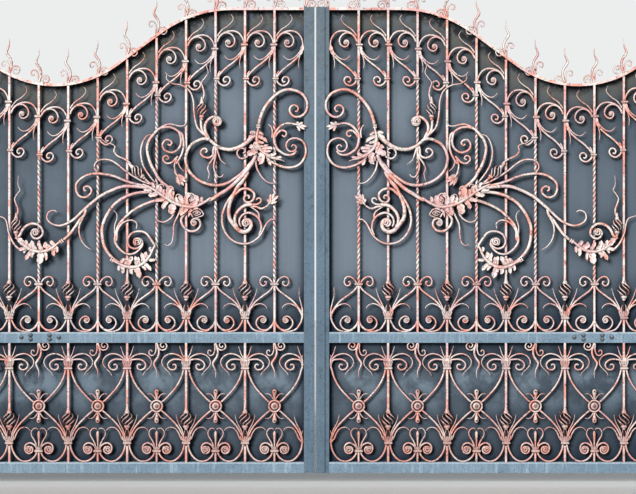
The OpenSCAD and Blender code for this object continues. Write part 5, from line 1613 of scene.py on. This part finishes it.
@dataclass(frozen=True)
class SheetPaint:
    """Weathered blue-grey paint on the backing sheets, dirty, dusted and streaked in places, with painted light
    paler to the middle and painted shade around the ironwork, along the rails and over the lower panel.
    """

    outer: Colour = shade(80, 92, 103)
    inner: Colour = shade(122, 135, 147)
    shadow: Colour = shade(32, 47, 60)
    dust: Colour = shade(132, 150, 163)
    ironwork_shade: Colour = shade(10, 28, 44)
    soil: Colour = shade(108, 106, 97)
    # Dark tone of the moss specks, also used for painted shade under the rails
    moss: Colour = shade(38, 36, 34)
    pink: Colour = shade(196, 140, 130)

    def mix(self) -> bpy.types.Material:
        """Builds the finish.

        Returns:
            The material.
        """
        net = Network("sheet_paint")
        height, along = net.axis("Object", "Z"), net.axis("Object", "X")
        aside = net.math("ABSOLUTE", net.math("SUBTRACT", along, GATE_X * MM), 0.0)
        wave = net.math("ABSOLUTE", net.math("SUBTRACT", aside, (GATE.edge_in + GATE.dip_run) * MM), 0.0)
        below = net.math("SUBTRACT", net.ramp(wave, 0, 0.86, GATE.dip_z * MM, GATE.crest_z * MM), height)
        # Painted light: paler towards the middle, and less dark at the right end than at the left
        near = net.times(net.ramp(along, 0, 1.4), net.ramp(along, 2.2, 3.7, 1, 0.3))
        streak = net.ramp(net.noise(7, 5, (4, 1, 0.2)), 0.4, 0.7)
        cloud = net.ramp(net.noise(2.4, 5, rough=0.6), 0.4, 0.7, 0.04, 0.18)
        # Painted shade over the middle rail, fading upwards
        shade_over_rail = net.ramp(height, 0.72, 1.02, 0.75, 0)
        # Painted light and dust: pale patches in a band at mid height of the lower panel, on the front face
        lit = net.times(net.ramp(height, 0.3, 0.45), net.ramp(height, 0.52, 0.62, 1, 0))
        light_and_dust = net.times(lit, net.ramp(net.noise(6, 6, rough=0.65), 0.4, 0.6, 0, 0.75))
        stained = net.ramp(below, 0.02, 0.28, 0.9, 0)
        # Moss specks and a thin painted shadow line just under the top rail
        moss_and_rail_shadow = net.ramp(below, 0.004, 0.055, 1, 0)
        # Painted shade in patches just under the middle rail, in the dark moss tone
        under = net.times(net.ramp(height, 0.6, 0.672, 0, 0.8), net.ramp(height, 0.68, 0.7, 1, 0))
        # Painted shade around and behind the ironwork, laid by ambient occlusion
        shade_around_ironwork = net.ramp(net.open_air(0.11), 0.4, 0.99, 0.96, 0)
        coats = [
            (near, self.inner),
            # Faint dark streaks in random clouds, in the darker tone
            (net.times(streak, cloud), self.shadow),
            (net.ramp(height, 0.6, 0.72, 0.55, 0), self.shadow),
            (net.times(shade_over_rail, net.ramp(height, 0.7, 0.72)), self.shadow),
            (net.times(light_and_dust, net.ramp(net.axis("Normal", "Y"), -0.5, 0, 1, 0.15)), self.dust),
            (net.ramp(below, 0.04, 0.5, 0.2, 0), self.shadow),
            (net.times(stained, net.ramp(net.noise(16, 6, rough=0.7), 0.3, 0.55)), self.soil),
            (net.times(moss_and_rail_shadow, net.ramp(net.noise(40, 5, rough=0.7), 0.4, 0.52)), self.moss),
            (net.times(under, net.ramp(net.noise(12, 5, (1, 1, 0.5)), 0.35, 0.6)), self.moss),
            (net.times(shade_around_ironwork, net.ramp(below, 0.01, 0.16, 0.5, 1)), self.ironwork_shade),
            (net.ramp(net.noise(60, 2), 0.75, 0.8, 0, 0.5), self.pink),
        ]
        net.bump(net.noise(120, 5), 0.12, 0.0008)
        rough = net.ramp(net.noise(18), 0.3, 0.7, 0.45, 0.68)
        return net.close(net.coats(self.outer, coats), rough, gloss=0.12)


# ---------------------------------------------------------------- the stage


@dataclass(frozen=True)
class Studio:
    """Pale floor, plain soft light and the camera at the photograph's view."""

    width_seen: float = 3.021
    distance: float = 9.0
    aim_x: float = 1.8868
    aim_z: float = 1.128
    sensor: float = 36

    def build(self) -> None:
        """Sets the floor, the lights and the camera."""
        bpy.context.scene.view_settings.view_transform = "Standard"
        self._floor()
        self._lights()
        self._sky()
        self._camera()

    def _floor(self) -> None:
        """Lays the floor, which keeps the gate's shadow."""
        part = bmesh.new()
        bmesh.ops.create_grid(part, x_segments=1, y_segments=1, size=20)
        data = bpy.data.meshes.new("floor")
        part.to_mesh(data)
        part.free()
        floor = add("floor", data)
        net = Network("floor_pale")
        seen = net.make("LightPath").outputs["Is Camera Ray"]
        data.materials.append(net.close(net.mix(seen, shade(130, 130, 128), shade(250, 250, 247)), 0.85))

    def _lights(self) -> None:
        """Hangs a soft sun high on the left and a weaker one behind for the back."""
        for name, energy, angle, way in (
            ("sun", 3.55, 21, (-0.42, -1, 0.36)), ("back_sun", 1.5, 40, (0.5, 1, 0.25)),
        ):
            sun = bpy.data.lights.new(name, "SUN")
            sun.energy = energy
            sun.angle = math.radians(angle)
            add(name, sun).rotation_euler = Vector(way).to_track_quat("Z", "Y").to_euler()

    def _sky(self) -> None:
        """Spreads a plain pale sky that the camera and the gloss see, and a weak one that lights the gate."""
        world = bpy.data.worlds.new("sky")
        bpy.context.scene.world = world
        world.use_nodes = True
        nodes, links = world.node_tree.nodes, world.node_tree.links
        plain = nodes["Background"]
        plain.inputs["Color"].default_value = (0.9, 0.95, 1, 1)
        plain.inputs["Strength"].default_value = 0.08
        seen = nodes.new("ShaderNodeBackground")
        seen.inputs["Color"].default_value = (*shade(236, 238, 238), 1)
        path = nodes.new("ShaderNodeLightPath")
        either = nodes.new("ShaderNodeMath")
        either.operation = "MAXIMUM"
        blend = nodes.new("ShaderNodeMixShader")
        links.new(path.outputs["Is Camera Ray"], either.inputs[0])
        links.new(path.outputs["Is Glossy Ray"], either.inputs[1])
        for source, socket in zip((either, plain, seen), blend.inputs):
            links.new(source.outputs[0], socket)
        links.new(blend.outputs[0], nodes["World Output"].inputs["Surface"])

    def _camera(self) -> None:
        """Stands the camera straight in front of the gate."""
        data = bpy.data.cameras.new("camera")
        data.sensor_width = self.sensor
        data.lens = self.sensor * (self.distance + FRONT_Y * MM) / self.width_seen
        camera = add("camera", data)
        camera.location = (self.aim_x, -self.distance, self.aim_z)
        camera.rotation_euler = (math.pi / 2, 0, 0)
        bpy.context.scene.camera = camera


def dress(nodes: dict[str, bpy.types.Object], ending: str, finish: bpy.types.Material) -> None:
    """Gives CAD nodes their finish.

    Args:
        nodes: The CAD nodes by name.
        ending: What the names end with.
        finish: The finish.
    """
    for name, node in nodes.items():
        if name.endswith(ending):
            node.data.materials.clear()
            node.data.materials.append(finish)


FRAME_PIECES = (
    "post", "base_plate", "post_cap", "hinge_pins", "hinge_eyes", "hinge_stile", "meeting_stile", "cover_strip",
)
# Heights of the rails' upper edges, which get a pale painted highlight, in metres
RAIL_HIGHLIGHT_HEIGHTS = (GATE.low_top * MM, GATE.mid_top * MM)


def main() -> None:
    """Builds the scene in order and reports each piece."""
    logging.basicConfig(level=logging.INFO, format="%(message)s")
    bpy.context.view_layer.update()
    Studio().build()
    patina = Patina().mix()
    frame_paint = Paint().mix()
    pale_blue, chalk = shade(122, 148, 168), shade(172, 198, 214)
    rail_paint = Paint("rail_paint", pale_blue, chalk, smears=0.75, soiled=0.4, edges=RAIL_HIGHLIGHT_HEIGHTS, aged=0).mix()
    bolt_iron = Paint("bolt_iron", shade(84, 100, 112), shade(150, 150, 152), shade(40, 34, 34), smears=0).mix()
    for ending in FRAME_PIECES:
        dress(frame["nodes"], ending, frame_paint)
    for ending in ("mid_rail", "bottom_rail"):
        dress(frame["nodes"], ending, rail_paint)
    dress(frame["nodes"], "sheet", SheetPaint().mix())
    dress(frame["nodes"], "top_rail", patina)
    rows = (
        TwistedBars(Row.TWISTED), BasketBars(Row.BASKET), LowerBars(Row.LOWER), Finials(Row.FINIAL),
        FernScrolls(Row.FERN), CrownScrolls(Row.CROWN), PanelScrolls(Row.PANEL), Rosettes(Row.ROSETTE),
        Collars(Row.COLLAR), Ornament(Row.ORNAMENT),
    )
    for row in rows:
        row.forge()
        for side in Side:
            row.hang(side, patina)
    for side in Side:
        Bolts().fit(side, bolt_iron)


if __name__ == "__main__":
    main()
